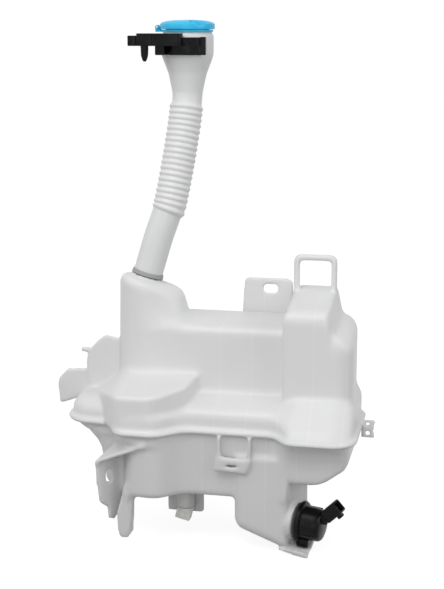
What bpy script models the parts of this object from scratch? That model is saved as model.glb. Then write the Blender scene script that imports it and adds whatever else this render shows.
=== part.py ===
"""Vehicle washer fluid reservoir: two blow-moulded tank halves welded along a wavy seam, a corrugated
filler tube with a hinged cap and a fixing clip, an electric pump on the sump and a level sensor below.

Metres, +Z up, the front of the tank faces -Y. The origin is on the back face of the slotted rear lug,
just under its slot, where the tank bears on the body panel.
"""
import math

import bmesh
import bpy
import numpy as np
from mathutils import Matrix, Vector

# Walls and clearances
WALL = 0.0026                 # moulded wall of both tank halves
TUBE_WALL = 0.0016            # blown wall of the filler tube
GAP = 0.0003                  # clearance between pieces that touch
RUN = 0.0005                  # running clearance round turning and sliding pieces
BRACKET = 0.0040              # thickness of the moulded brackets

# Weld seam
SEAM_Z = -0.118
SEAM_REACH = 0.0045           # how far the weld flange stands out of the wall
SEAM_HALF = 0.0045            # height of the flange on each half
BAND_TOP = -0.097             # top of the upright band above the seam

# Plan of the tank at the seam flange
LEFT_X = -0.205
RIGHT_X = 0.1065
BACK_Y = -0.0015
FRONT_Y = -0.112              # straight middle of the front
LOBE_Y = -0.136               # rounded lobe at the front left
LOBE_X0 = -0.142
LOBE_X1 = -0.083
BULGE_Y = -0.134              # front of the bulge under the right block
BULGE_X0 = 0.030
END_Y = -0.103                # front of the narrow left end

# Upper half, heights of the stepped body
MID_X0 = -0.104
MID_Y = -0.074                # recessed front face of the middle
MID_TOP = -0.0165
BLOCK_X0 = 0.027
BLOCK_Y = -0.093              # front face of the right block
BLOCK_TOP = -0.007
HEAD_X1 = 0.078               # raised part of the right block
HEAD_TOP = 0.0145
HEAD_FALL = 0.16              # slope of its top towards the front
SHELF_BACK_Z = -0.0845        # sloping shelf under the recessed face
SHELF_FRONT_Z = -0.0985
TOP_ROUND = 0.009
STEP_IN = 0.0006               # each upper form stands in by this from the one below

# Filler tower on the left
TOWER = (-0.1236, -0.050)
TOWER_R = 0.027
TOWER_DRAFT = 0.0025
SHOULDER_Z = 0.0190           # where the tower starts to round over to its neck
NECK = (-0.1222, -0.0500, 0.0297)   # middle of the neck's top face
NECK_LEAN = math.radians(16.8)      # the neck leans by this,
NECK_BEARING = math.radians(19.5)   # mostly to the right and a little to the back
NECK_R = 0.0168
NECK_H = 0.0030
SOCKET_R = 0.0138             # bore of the neck
SEAT_DEPTH = 0.0115           # how deep the tube stands in the neck
SLEEVE = 0.0011               # wall of the rubber sleeve between them
COLLAR_H = 0.0045
FLARE = (-0.106, -0.046)
FLARE_R0 = 0.031
FLARE_R1 = 0.019
FLARE_Z0 = -0.022
FLARE_Z1 = 0.019

# Lower half
FLOOR_Z = -0.187
RIGHT_FLOOR_Z = -0.1655
FLOOR_ROUND = 0.006

# Sump and pump seat
SUMP_X0 = -0.0190
SUMP_X1 = 0.0360
SUMP_Y0 = -0.1145
SUMP_Y1 = -0.0620
SUMP_TURN = math.radians(18.8)      # the pump face is turned this far towards the front
SUMP_FLOOR_Z = -0.2170
SUMP_FALL = 0.36
SUMP_ROUND = 0.010
PUMP_ALONG = 0.0200                 # pump axis, along the pump face from its front edge
PUMP_Z = -0.2095
PUMP_TURN = math.radians(12.0)      # the pump itself points this far towards the front,
PUMP_TILT = math.radians(3.5)       # and this far down
PUMP_HOLE_R = 0.0118

# Shield under the pump
GUARD_Z = -0.2364
GUARD_OUT = 0.0250                  # how far it reaches out of the pump face
GUARD_DROP = math.radians(4.0)
GUARD_CLIMB = math.radians(7.0)

# Pump
GROMMET_R = 0.0186
PUMP_FLANGE_R = 0.0214
PUMP_R = 0.0172
PUMP_LEN = 0.0215
SPIGOT_R = 0.0084
SPIGOT_LEN = 0.0105
INLET_R = 0.0050
MOTOR_R = 0.0128
SHAFT_R = 0.0010
IMPELLER_R = 0.0105
NOZZLE_R = 0.0052
NOZZLE_REACH = 0.0255
SOCKET_TILT = math.radians(48.0)    # connector socket, up from the pump axis

# Filler tube, read from the centre line's bends
TUBE_R = 0.0152
BELLOWS_R = 0.0178
VALLEY_R = 0.0157             # between the ridges; the bore runs smooth behind them
RIDGES = 19
WAIST_R = 0.0153
HEAD_R = 0.0268
MOUTH_R = 0.0248
MOUTH_TOP = 0.2800

# Cap
CAP_R = 0.0284
CAP_BASE = 0.2806
CAP_EDGE = 0.0050
CAP_DOME = 0.0045
CAP_SKIRT = 0.0014
HINGE_PIN_R = 0.0011
HINGE_OUT = 0.0024            # hinge axis, outside the cap's rim
EYE_R = 0.0019                # round eyes that carry the hinge pin
KNUCKLE_RISE = 0.0021         # height of the hinge axis over the cap's rim

# Neck clip
CLIP_T = 0.0030
CLIP_LOW = 0.2550
CLIP_MID = 0.2640
CLIP_HIGH = 0.2765
CLIP_PIN_X = -0.1236
CLIP_PIN_R = 0.0042
CLIP_PIN_LEN = 0.0155
CLIP_BAR_X0 = -0.1310
CLIP_TAB_X0 = -0.1405

# Rear lug, loop and other brackets
LUG_X0 = -0.0280
LUG_X1 = 0.0235
LUG_TOP = 0.0225
LUG_SLOT = (0.0148, 0.0088)
LUG_SLOT_Z = 0.0110
LOOP_X0 = 0.0285
LOOP_X1 = 0.0735
LOOP_Y = -0.027
LOOP_TOP = 0.0535
LOOP_BAR = 0.0062
LOOP_DEPTH = 0.0070

EAR_ROOT = (-0.1460, -0.0560, 0.0)    # the left ear and arm lie in one upright plane through here,
EAR_TURN = math.radians(-12)          # turned this far, so that the arm runs left and back

# Level sensor under the floor
SENSOR = (-0.0755, -0.0785)
BOSS_R = 0.0095
BOSS_BORE = 0.0070
BOSS_LOW = -0.2100
PLATE_X0 = -0.0980
PLATE_X1 = -0.0580
PLATE_LOW = -0.2200
PLUG_LEAN = math.radians(14)  # the connector leans to the left as it goes down
STEM_R = 0.0035
STEM_TOP = -0.1420
FLOAT_R = 0.0100
FLOAT_H = 0.0130
FLOAT_TRAVEL = 0.0220

# Left foot
GUSSET_TIP = (-0.1590, -0.1290, -0.1520)   # left front corner of the sloping gusset
FOOT_TURN = math.radians(52)

AROUND = 14                   # sides of small round pieces
WIDE = 16                     # sides of large round pieces
CORNER = 3                    # faces round each plan corner


def clear_scene():
    for obj in list(bpy.data.objects):
        bpy.data.objects.remove(obj, do_unlink=True)


def make_collection(name):
    coll = bpy.data.collections.new(name)
    bpy.context.scene.collection.children.link(coll)
    return coll


def make_material(name, colour, roughness, metallic=0.0):
    mat = bpy.data.materials.new(name)
    mat.use_nodes = True
    bsdf = mat.node_tree.nodes["Principled BSDF"]
    bsdf.inputs["Base Color"].default_value = (*colour, 1.0)
    bsdf.inputs["Roughness"].default_value = roughness
    bsdf.inputs["Metallic"].default_value = metallic
    mat.diffuse_color = (*colour, 1.0)
    return mat


# Plan outlines: corners with a fillet each, counter-clockwise seen from above
def shift_corners(corners, inset):
    """Moves every edge inward by inset; outside fillets get smaller and inside ones larger."""
    count = len(corners)
    lines = []
    for i in range(count):
        p = Vector(corners[i][:2])
        u = (Vector(corners[(i + 1) % count][:2]) - p).normalized()
        lines.append((p + Vector((-u.y, u.x)) * inset, u))
    shifted = []
    for i in range(count):
        (p, u), (q, v) = lines[i - 1], lines[i]
        turn = u.x * v.y - u.y * v.x
        radius = corners[i][2]
        if abs(turn) < 1e-3:
            shifted.append((q.x, q.y, radius))
            continue
        t = ((q.x - p.x) * v.y - (q.y - p.y) * v.x) / turn
        corner = p + u * t
        radius = max(radius - inset, 0.0004) if turn > 0 else max(radius + inset, 0.0004)
        shifted.append((corner.x, corner.y, radius))
    return shifted


def fillet_outline(corners, segments=CORNER):
    """Points along the outline, with the same number round each corner."""
    points = []
    count = len(corners)
    for i in range(count):
        here = Vector(corners[i][:2])
        before = (Vector(corners[i - 1][:2]) - here).normalized()
        after = (Vector(corners[(i + 1) % count][:2]) - here).normalized()
        radius = corners[i][2]
        opening = before.angle(after)
        if opening > math.pi - 1e-3:
            start, end = here + before * radius, here + after * radius
            points += [start.lerp(end, k / segments) for k in range(segments + 1)]
            continue
        reach = radius / math.tan(opening / 2)
        start, end = here + before * reach, here + after * reach
        centre = here + (before + after).normalized() * (radius / math.sin(opening / 2))
        a, b = start - centre, end - centre
        sweep = a.angle_signed(b)
        for k in range(segments + 1):
            points.append(centre + Matrix.Rotation(-sweep * k / segments, 2) @ a)
    return points


def ring_at(corners, z, inset=0.0, segments=CORNER):
    """A closed ring of 3-D points: the outline at height z, or at z(x, y) when z is a function."""
    flat = fillet_outline(shift_corners(corners, inset), segments)
    return [Vector((p.x, p.y, z(p.x, p.y) if callable(z) else z)) for p in flat]


# Solids
def link(obj, coll, material=None, smooth=None):
    coll.objects.link(obj)
    if material:
        obj.data.materials.append(material)
    if coll is CUTTERS:
        obj.hide_render = True
        obj.display_type = "WIRE"
    elif smooth is None:
        obj.data.shade_smooth()
        obj.data.set_sharp_from_angle(angle=math.radians(35))
    return obj


def from_bmesh(bm, name):
    mesh = bpy.data.meshes.new(name)
    bm.to_mesh(mesh)
    bm.free()
    return bpy.data.objects.new(name, mesh)


def loft(name, coll, rings, material=None, apex=None):
    """Skins rings of equal point counts, closed by a flat face or a fan to apex at the last ring."""
    bm = bmesh.new()
    rows = [[bm.verts.new(p) for p in ring] for ring in rings]
    for low, high in zip(rows, rows[1:]):
        for i in range(len(low)):
            j = (i + 1) % len(low)
            bm.faces.new((low[i], low[j], high[j], high[i]))
    bm.faces.new(rows[0][::-1])
    if apex is None:
        bm.faces.new(rows[-1])
    else:
        tip = bm.verts.new(apex)
        last = rows[-1]
        for i in range(len(last)):
            bm.faces.new((last[i], last[(i + 1) % len(last)], tip))
    bmesh.ops.recalc_face_normals(bm, faces=bm.faces)
    bmesh.ops.connect_verts_nonplanar(bm, angle_limit=0.0002, faces=bm.faces)
    return link(from_bmesh(bm, name), coll, material)


def box(name, coll, low, high, material=None, bevel=0.0, frame=None):
    bm = bmesh.new()
    bmesh.ops.create_cube(bm, size=1.0)
    size = Vector(high) - Vector(low)
    bmesh.ops.scale(bm, vec=size, verts=bm.verts)
    bmesh.ops.translate(bm, vec=(Vector(high) + Vector(low)) / 2, verts=bm.verts)
    obj = link(from_bmesh(bm, name), coll, material)
    if frame is not None:
        obj.matrix_world = frame
    if bevel:
        rounding = obj.modifiers.new("edges", "BEVEL")
        rounding.width = bevel
        rounding.segments = 1
        rounding.limit_method = "NONE"
    return obj


def turned(name, coll, profile, material=None, frame=None, sides=AROUND):
    """Turns a profile (radius, height), running down its outer side, about the local Z axis."""
    bm = bmesh.new()
    verts = [bm.verts.new((r, 0.0, z)) for r, z in profile]
    for a, b in zip(verts, verts[1:]):
        bm.edges.new((a, b))
    if profile[0][0] > 1e-6:
        bm.edges.new((verts[-1], verts[0]))
    obj = link(from_bmesh(bm, name), coll, material, smooth=False)
    screw = obj.modifiers.new("turn", "SCREW")
    screw.steps = screw.render_steps = sides
    screw.use_merge_vertices = True
    screw.merge_threshold = 0.00001
    screw.use_smooth_shade = True
    if frame is not None:
        obj.matrix_world = frame
    return obj


def rod(name, coll, r, z0, z1, material=None, frame=None, sides=AROUND):
    return turned(name, coll, [(0, z1), (r, z1), (r, z0), (0, z0)], material, frame, sides)


def tube(name, coll, r_out, r_in, z0, z1, material=None, frame=None, sides=AROUND):
    profile = [(r_out, z1), (r_out, z0), (r_in, z0), (r_in, z1)]
    return turned(name, coll, profile, material, frame, sides)


def plate(name, coll, outline, thickness, frame, material=None, holes=()):
    """A flat outline with holes, filled and extruded, in the XY plane of frame and centred on it."""
    curve = bpy.data.curves.new(name, "CURVE")
    curve.dimensions = "2D"
    curve.fill_mode = "BOTH"
    curve.extrude = thickness / 2
    for loop in (outline, *holes):
        spline = curve.splines.new("POLY")
        spline.points.add(len(loop) - 1)
        for point, p in zip(spline.points, loop):
            point.co = (p[0], p[1], 0.0, 1.0)
        spline.use_cyclic_u = True
    guide = bpy.data.objects.new(name + "_guide", curve)
    guide.matrix_world = frame
    bpy.context.scene.collection.objects.link(guide)
    bpy.context.view_layer.update()
    deps = bpy.context.evaluated_depsgraph_get()
    mesh = bpy.data.meshes.new_from_object(guide.evaluated_get(deps))
    matrix = guide.matrix_world.copy()
    bpy.data.objects.remove(guide, do_unlink=True)
    bm = bmesh.new()
    bm.from_mesh(mesh)
    bmesh.ops.remove_doubles(bm, verts=bm.verts, dist=0.00001)
    bmesh.ops.recalc_face_normals(bm, faces=bm.faces)
    bm.to_mesh(mesh)
    bm.free()
    mesh.materials.clear()
    obj = link(bpy.data.objects.new(name, mesh), coll, material)
    obj.matrix_world = matrix
    return obj


def rounded_box(x0, y0, x1, y1, r):
    return [tuple(p) for p in fillet_outline([(x0, y0, r), (x1, y0, r), (x1, y1, r), (x0, y1, r)])]


def upright_frame(origin, turn=0.0):
    """Local X along the front turned by turn about Z, local Y up, local Z towards the viewer."""
    return Matrix.Translation(origin) @ Matrix.Rotation(turn, 4, "Z") @ Matrix.Rotation(math.pi / 2, 4, "X")


def boolean(target, tool, operation):
    mod = target.modifiers.new(tool.name, "BOOLEAN")
    mod.operation = operation
    mod.object = tool
    mod.solver = "EXACT"
    return target


def join(target, *tools):
    for tool in tools:
        boolean(target, tool, "UNION")


def cut(target, *tools):
    for tool in tools:
        boolean(target, tool, "DIFFERENCE")


def axis_frame(place, direction):
    """A frame whose local Z is the direction and whose local X lies to the right of it."""
    side = Vector((0, 1, 0)).cross(direction).normalized()
    rise = direction.cross(side)
    return Matrix.Translation(place) @ Matrix((side, rise, direction)).transposed().to_4x4()


def ring_round(place, direction, radius, sides=WIDE):
    """Points on a circle about an axis, started from its right side so that rings don't twist."""
    frame = axis_frame(place, direction)
    turns = [2 * math.pi * k / sides for k in range(sides)]
    return [frame @ Vector((radius * math.cos(a), radius * math.sin(a), 0.0)) for a in turns]


def neck_axis():
    return (Matrix.Rotation(NECK_BEARING, 3, "Z") @ Matrix.Rotation(NECK_LEAN, 3, "Y")) @ Vector((0, 0, 1))


def merge_flat(obj):
    """Joins the flat faces that the cuts left in pieces."""
    mod = obj.modifiers.new("flat", "DECIMATE")
    mod.decimate_type = "DISSOLVE"
    mod.angle_limit = math.radians(0.5)


# Tank plan
def seam_corners():
    """Outer edge of the weld flange, from the back left corner round the front to the back right."""
    return [
        (LEFT_X + 0.004, BACK_Y, 0.040),
        (LEFT_X, END_Y + 0.004, 0.034),
        (LOBE_X0 - 0.002, END_Y, 0.006),
        (LOBE_X0 + 0.002, LOBE_Y, 0.015),
        (LOBE_X1 - 0.002, LOBE_Y, 0.011),
        (LOBE_X1 + 0.003, FRONT_Y, 0.008),
        (BULGE_X0 - 0.002, FRONT_Y, 0.007),
        (BULGE_X0 + 0.002, BULGE_Y, 0.009),
        (RIGHT_X, BULGE_Y, 0.015),
        (RIGHT_X - 0.002, BACK_Y, 0.014),
        (SUMP_X1, BACK_Y, 0.004),
    ]


def wall_corners():
    return shift_corners(seam_corners(), SEAM_REACH)


# Upper half
def upper_forms(coll, tag, inset, low):
    """The stepped upper body as overlapping forms, all drawn in by inset and starting at height low."""
    walls = wall_corners()
    back = BACK_Y - SEAM_REACH - STEP_IN
    start = SEAM_Z + 0.010
    right = RIGHT_X - SEAM_REACH - 0.0025
    top = lambda z: z - inset
    fine = CORNER if inset == 0 else 2
    band = loft("band" + tag, coll, [
        ring_at(walls, low, inset, fine),
        ring_at(walls, top(BAND_TOP) - 0.005, inset, fine),
        ring_at(walls, top(BAND_TOP) - 0.0015, inset + 0.0015, fine),
        ring_at(walls, top(BAND_TOP), inset + 0.0045, fine)])
    head = (BLOCK_X0 + 2 * STEP_IN, BLOCK_Y + 4 * STEP_IN, HEAD_X1, back - STEP_IN)
    forms = [
        shelf("middle_shelf" + tag, coll, LOBE_X1 - 0.012, BULGE_X0 + 0.016, FRONT_Y, MID_Y, 0.006, inset, start),
        shelf("bulge_shelf" + tag, coll, BULGE_X0 + 0.0072, right + 0.0014, BULGE_Y, BLOCK_Y, 0.0115, inset,
              start + 0.0004),
        block("middle" + tag, coll, (MID_X0, MID_Y, BLOCK_X0 + 0.012, back), 0.010, MID_TOP, 0.0, inset, start + 0.0008),
        block("right_block" + tag, coll, (BLOCK_X0, BLOCK_Y, right, back - STEP_IN / 2), 0.012, BLOCK_TOP, 0.10, inset,
              start + 0.0012),
        block("right_head" + tag, coll, head, 0.011, HEAD_TOP, HEAD_FALL, inset, start + 0.0016),
        lobe_cover("lobe_cover" + tag, coll, inset, start + 0.0020),
        tower_form("tower" + tag, coll, inset, start + 0.0024),
        turned("flare" + tag, coll, [
            (0, FLARE_Z1 - inset), (FLARE_R1 - inset, FLARE_Z1 - inset),
            (FLARE_R0 - inset, FLARE_Z0), (FLARE_R0 - inset, start + 0.0028), (0, start + 0.0028)],
            frame=Matrix.Translation((*FLARE, 0.0)), sides=WIDE),
    ]
    join(band, *forms)
    return band


def block(name, coll, plan, corner, top, fall, inset, low):
    """A box with rounded upright corners and a rounded top that may fall towards the front."""
    x0, y0, x1, y1 = plan
    corners = [(x0, y0, corner), (x1, y0, corner), (x1, y1, corner), (x0, y1, corner)]
    fine = CORNER if inset == 0 else 2
    steps = fine
    rings = [ring_at(corners, low, inset, fine)]
    for k in range(steps + 1):
        angle = math.pi / 2 * k / steps
        drop = TOP_ROUND * (1 - math.sin(angle))
        draw = TOP_ROUND * (1 - math.cos(angle))
        rings.append(ring_at(corners, lambda x, y, d=drop: top - inset - d + fall * (y - y1), inset + draw, fine))
    return loft(name, coll, rings)


def shelf(name, coll, x0, x1, y_flange, y_face, corner, inset, low):
    """The sloping shelf between the band and the recessed front face, as a block with a falling top."""
    y0 = y_flange + SEAM_REACH + STEP_IN
    fall = (SHELF_BACK_Z - SHELF_FRONT_Z) / (y_face - y0)
    y1 = y_face + 0.012
    corners = [(x0, y0, corner), (x1, y0, corner), (x1, y1, 0.002), (x0, y1, 0.002)]
    fine = CORNER if inset == 0 else 2
    return loft(name, coll, [
        ring_at(corners, low, inset, fine),
        ring_at(corners, lambda x, y: SHELF_FRONT_Z - inset - 0.0035 + fall * (y - y0), inset, fine),
        ring_at(corners, lambda x, y: SHELF_FRONT_Z - inset - 0.0004 + fall * (y - y0), inset + 0.0028, fine)])


def lobe_cover(name, coll, inset, low):
    """The low cover of the front left lobe, whose top falls away from the tower on all sides."""
    walls = wall_corners()
    left, right, front = walls[3][0] + STEP_IN, walls[4][0] - STEP_IN, walls[3][1] + STEP_IN
    corners = [
        (-0.176, -0.028, 0.006), (-0.179, -0.066, 0.006), (-0.152, -0.0765, 0.004), (left - 0.001, -0.092, 0.004),
        (left, front, 0.012), (right, front, 0.010), (right + 0.010, FRONT_Y + 0.006, 0.010),
        (-0.062, MID_Y - 0.002, 0.008), (-0.062, -0.030, 0.008)]

    def height(x, y):
        away = math.hypot(x - TOWER[0], y - TOWER[1]) - TOWER_R
        left_drop = 0.0195 * min(1.0, max(0.0, (-0.130 - x) / 0.012))
        return max(-0.0625 - 0.33 * away - left_drop, -0.0955) - inset

    fine = CORNER if inset == 0 else 2
    return loft(name, coll, [
        ring_at(corners, low, inset, fine),
        ring_at(corners, lambda x, y: height(x, y) - 0.004, inset, fine),
        ring_at(corners, lambda x, y: height(x, y) - 0.001, inset + 0.0015, fine),
        ring_at(corners, height, inset + 0.005, fine)],
        apex=(TOWER[0], TOWER[1], -0.050 - inset))


def tower_form(name, coll, inset, low):
    """The draughted round tower, rounded over to a leaning neck; the outer form carries the neck itself."""
    r = TOWER_R - inset
    upright, lean = Vector((0, 0, 1)), neck_axis()
    shoulder = Vector((*TOWER, SHOULDER_Z))
    top = Vector(NECK) - lean * (NECK_H + inset)
    rings = [ring_round(Vector((*TOWER, low)), upright, r + TOWER_DRAFT)]
    steps = 4 if inset == 0 else 3
    for k in range(steps + 1):
        angle = math.pi / 2 * k / steps
        over, up = 1 - math.cos(angle), math.sin(angle)
        place = shoulder.lerp(top, over)
        place.z = shoulder.z + (top.z - shoulder.z) * up
        rings.append(ring_round(place, upright.lerp(lean, 0.5 + 0.5 * up).normalized(), r + (NECK_R - r) * over))
    if inset == 0:
        rings[-1] = ring_round(top, lean, NECK_R + 0.0004)
        rings += [ring_round(top + lean * 0.0010, lean, NECK_R), ring_round(Vector(NECK), lean, NECK_R)]
    return loft(name, coll, rings)


def upper_shell():
    """The upper tank half: the stepped body hollowed by the same forms drawn in by the wall."""
    seam = seam_corners()
    face = SEAM_Z + GAP / 2
    top = SEAM_Z + SEAM_HALF
    shell = loft("upper_tank_shell", PARTS, [
        ring_at(seam, face, 0.0004), ring_at(seam, face + 0.0008, 0.0), ring_at(seam, top - 0.0022, 0.0),
        ring_at(seam, top - 0.0006, 0.0012), ring_at(seam, top, 0.0040)], WHITE)
    outer = upper_forms(CUTTERS, "_outer", 0.0, face)
    inner = upper_forms(CUTTERS, "_inner", WALL, face - 0.010)
    bore = rod("neck_bore", CUTTERS, SOCKET_R, -SEAT_DEPTH - 0.008, 0.010, frame=axis_frame(NECK, neck_axis()), sides=WIDE)
    join(shell, outer, *rear_lug(), *handle_loop(), *left_bracket(), *right_tab())
    cut(shell, inner, bore)
    merge_flat(shell)
    return shell


def rear_lug():
    """The slotted lug on the top back edge, whose back face carries the tank."""
    slot = rounded_box(-LUG_SLOT[0] / 2, LUG_SLOT_Z - LUG_SLOT[1] / 2,
                       LUG_SLOT[0] / 2, LUG_SLOT_Z + LUG_SLOT[1] / 2, 0.0030)
    low = MID_TOP - 0.020
    outline = [tuple(p) for p in fillet_outline([
        (LUG_X0 - 0.004, low, 0.001), (LUG_X1 + 0.004, low, 0.001),
        (LUG_X1, LUG_TOP, 0.006), (LUG_X0, LUG_TOP, 0.005)])]
    lug = plate("lug_plate", CUTTERS, outline, BRACKET, upright_frame((0, -BRACKET / 2, 0)), holes=[slot])
    web = box("lug_foot", CUTTERS, (LUG_X0 + 0.001, -0.012, low + 0.002), (LUG_X1 - 0.001, -0.002, MID_TOP - 0.001),
              bevel=0.0012)
    return [lug, web]


def handle_loop():
    """The flat rectangular loop on the right block, for a hose or for lifting."""
    foot = HEAD_TOP + HEAD_FALL * (LOOP_Y - BACK_Y) - 0.0015
    middle = (LOOP_X0 + LOOP_X1) / 2
    half = (LOOP_X1 - LOOP_X0) / 2
    outer = rounded_box(-half, foot, half, LOOP_TOP, 0.0070)
    inner = rounded_box(-half + LOOP_BAR, foot + 0.004, half - LOOP_BAR, LOOP_TOP - LOOP_BAR, 0.0035)
    return [plate("loop_plate", CUTTERS, outer, LOOP_DEPTH, upright_frame((middle, LOOP_Y, 0)), holes=[inner])]


def left_bracket():
    """The round-backed ear beside the tower, the flat arm that carries on from it and its small peg."""
    frame = upright_frame(EAR_ROOT, EAR_TURN)
    ear = [(0.020, -0.104), (0.020, -0.040), (-0.009, -0.0375), (-0.023, -0.036), (-0.032, -0.0425),
           (-0.040, -0.051), (-0.0452, -0.0595), (-0.0470, -0.069), (-0.0455, -0.078), (-0.0410, -0.104)]
    arm = [(-0.0330, -0.0740), (-0.0697, -0.0776), (-0.0746, -0.0818), (-0.0826, -0.0905), (-0.0832, -0.0981),
           (-0.0818, -0.1148), (-0.0800, -0.1180), (-0.0660, -0.1128), (-0.0534, -0.1068), (-0.0330, -0.1000)]
    ear_plate = plate("ear_plate", CUTTERS, ear, BRACKET, frame)
    arm_plate = plate("arm_plate", CUTTERS, arm, BRACKET, frame @ Matrix.Translation((0, 0, -0.0013)))
    rib_outline = [(0.012, -0.100), (0.012, -0.080), (-0.028, -0.080), (-0.028, -0.085), (-0.016, -0.100)]
    rib = plate("ear_rib", CUTTERS, rib_outline, 0.0030, frame @ Matrix.Translation((0, 0, -0.0031)))
    peg_at = frame @ Matrix.Translation((-0.0412, -0.0543, 0)) @ Matrix.Rotation(math.pi / 2, 4, "Y")
    peg = rod("ear_peg", CUTTERS, 0.0021, -0.0112, 0.0, sides=12, frame=peg_at)
    pad_outline = [(-0.0775, -0.1060), (-0.0600, -0.1060), (-0.0600, -0.0860), (-0.0775, -0.0860)]
    pad = plate("arm_pad", CUTTERS, pad_outline, 0.0020, frame @ Matrix.Translation((0, 0, -0.0031)))
    return [ear_plate, arm_plate, rib, peg, pad]


def right_tab():
    """The small hooked tab with two holes on the right end, just above the seam."""
    z0, z1 = -0.131, -0.1125
    holes = [rounded_box(0.1092, -0.1272, 0.1128, -0.1246, 0.0010),
             rounded_box(0.1092, -0.1176, 0.1128, -0.1150, 0.0010)]
    outline = [(0.0985, z0 + 0.0140), (0.0985, z1 + 0.0005), (0.1180, z1 + 0.0012), (0.1192, z1 - 0.0020),
               (0.1170, z1 - 0.0050), (0.1176, z1 - 0.0090), (0.1168, z1 - 0.0120), (0.1190, z0 + 0.0010),
               (0.1175, z0 - 0.0005), (0.1062, z0), (0.1062, z0 + 0.0140)]
    return [plate("tab_plate", CUTTERS, outline[::-1], 0.0030, upright_frame((0, -0.052, 0)), holes=holes)]


# Lower half
def tray_top_rings(inset):
    """Upper part of the tray, the whole plan: the left end scoops in and the bulge runs back under the seam."""
    levels = [
        # height, left end, right end, bulge front
        (SEAM_Z, 0.000, 0.000, 0.000),
        (-0.1235, 0.006, 0.000, 0.004),
        (-0.1290, 0.020, 0.001, 0.009),
        (-0.1390, 0.030, 0.003, 0.012),
        (-0.1480, 0.035, 0.006, 0.013),
    ]
    rings = []
    fine = CORNER if inset == 0 else 2
    for z, left, right, front in levels:
        corners = []
        for i, (x, y, r) in enumerate(wall_corners()):
            if i < 2:
                x += left
                r = max(0.010, r - left / 2)
            if i in (8, 9):
                x -= right
            if i in (7, 8):
                y += front
            corners.append((x, y, r))
        rings.append(ring_at(corners, z + (inset if z < -0.140 else 0.0), inset, fine))
    return rings


def tray_left(name, coll, inset):
    """The deep left and middle part of the tray, with a rounded bottom edge."""
    walls = shift_corners(wall_corners(), STEP_IN)
    end_x = LEFT_X + 0.045
    corners = [(end_x, walls[0][1], 0.022), (end_x - 0.001, walls[1][1], 0.018), *walls[2:6],
               (SUMP_X1 + 0.0010, walls[6][1], 0.006), (SUMP_X1 + 0.0010, walls[0][1], 0.006)]
    fine = CORNER if inset == 0 else 2
    rings = [ring_at(corners, -0.1435, inset, fine)]
    for k in range(fine + 1):
        angle = math.pi / 2 * k / fine
        lift = FLOOR_ROUND * (1 - math.sin(angle))
        rings.append(ring_at(corners, FLOOR_Z + inset + lift, inset + FLOOR_ROUND * (1 - math.cos(angle)), fine))
    return loft(name, coll, rings)


def tray_right(name, coll, inset):
    """The shallower right part, whose end rises in a long chamfer."""
    walls = shift_corners(wall_corners(), STEP_IN)
    front, back, left = walls[7][1] + 0.0132, walls[0][1] - STEP_IN, SUMP_X0 + 0.010
    levels = [(-0.1430, 0.006, 0.0), (-0.1495, 0.012, 0.0), (RIGHT_FLOOR_Z + 0.0035, 0.0290, 0.0),
              (RIGHT_FLOOR_Z + 0.0010, 0.0345, 0.0020), (RIGHT_FLOOR_Z, 0.0385, 0.0050)]
    fine = CORNER if inset == 0 else 2
    rings = []
    for z, right, draw in levels:
        corners = [(left, walls[6][1] + STEP_IN, 0.004), (walls[6][0] + STEP_IN, walls[6][1] + STEP_IN, 0.004),
                   (walls[7][0], front, 0.004), (walls[8][0] - right, front, 0.012),
                   (walls[9][0] - right, back, 0.012), (left, back, 0.004)]
        rings.append(ring_at(corners, z + (inset if z < -0.160 else 0.0), inset + draw, fine))
    return loft(name, coll, rings)


def tray(coll, tag, inset, high):
    rings = tray_top_rings(inset)
    rings[0] = [Vector((p.x, p.y, high)) for p in rings[0]]
    top = loft("tray" + tag, coll, rings)
    join(top, tray_left("tray_left" + tag, coll, inset), tray_right("tray_right" + tag, coll, inset),
         sump_form("sump" + tag, coll, inset, -0.1400))
    return top


def sump_corners():
    run = SUMP_Y1 - SUMP_Y0
    return [(SUMP_X0, SUMP_Y0 + 0.004, 0.009), (SUMP_X1, SUMP_Y0, 0.008),
            (SUMP_X1 + run * math.tan(SUMP_TURN), SUMP_Y1, 0.006), (SUMP_X0 + 0.004, SUMP_Y1, 0.010)]


def sump_form(name, coll, inset, high):
    """The deep well whose floor falls towards the pump."""
    corners = sump_corners()

    def floor(x, y):
        return SUMP_FLOOR_Z - SUMP_FALL * (x - SUMP_X0) + inset

    fine = CORNER if inset == 0 else 2
    rings = [ring_at(corners, high, inset, fine)]
    for k in range(fine + 1):
        angle = math.pi / 2 * k / fine
        lift = SUMP_ROUND * (1 - math.sin(angle))
        draw = 0.7 * SUMP_ROUND * (1 - math.cos(angle))
        rings.append(ring_at(corners, lambda x, y, d=lift: floor(x, y) + d, inset + draw, fine))
    return loft(name, coll, rings)


def pump_frame():
    """Local Z is the pump axis, out of the sump's face; local Y is up."""
    across = Vector((math.sin(SUMP_TURN), math.cos(SUMP_TURN), 0.0))
    face = Vector((SUMP_X1, SUMP_Y0, PUMP_Z)) + across * PUMP_ALONG
    outward = Vector((math.cos(PUMP_TURN), -math.sin(PUMP_TURN), 0.0))
    axis = outward * math.cos(PUMP_TILT) - Vector((0, 0, math.sin(PUMP_TILT)))
    side = Vector((0, 0, 1)).cross(axis).normalized()
    rise = axis.cross(side)
    turn = Matrix((side, rise, axis)).transposed().to_4x4()
    proud = (GROMMET_R + 0.0008) * math.hypot(math.tan(PUMP_TILT), math.tan(SUMP_TURN - PUMP_TURN)) + GAP
    return Matrix.Translation(face + outward * proud) @ turn


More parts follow.
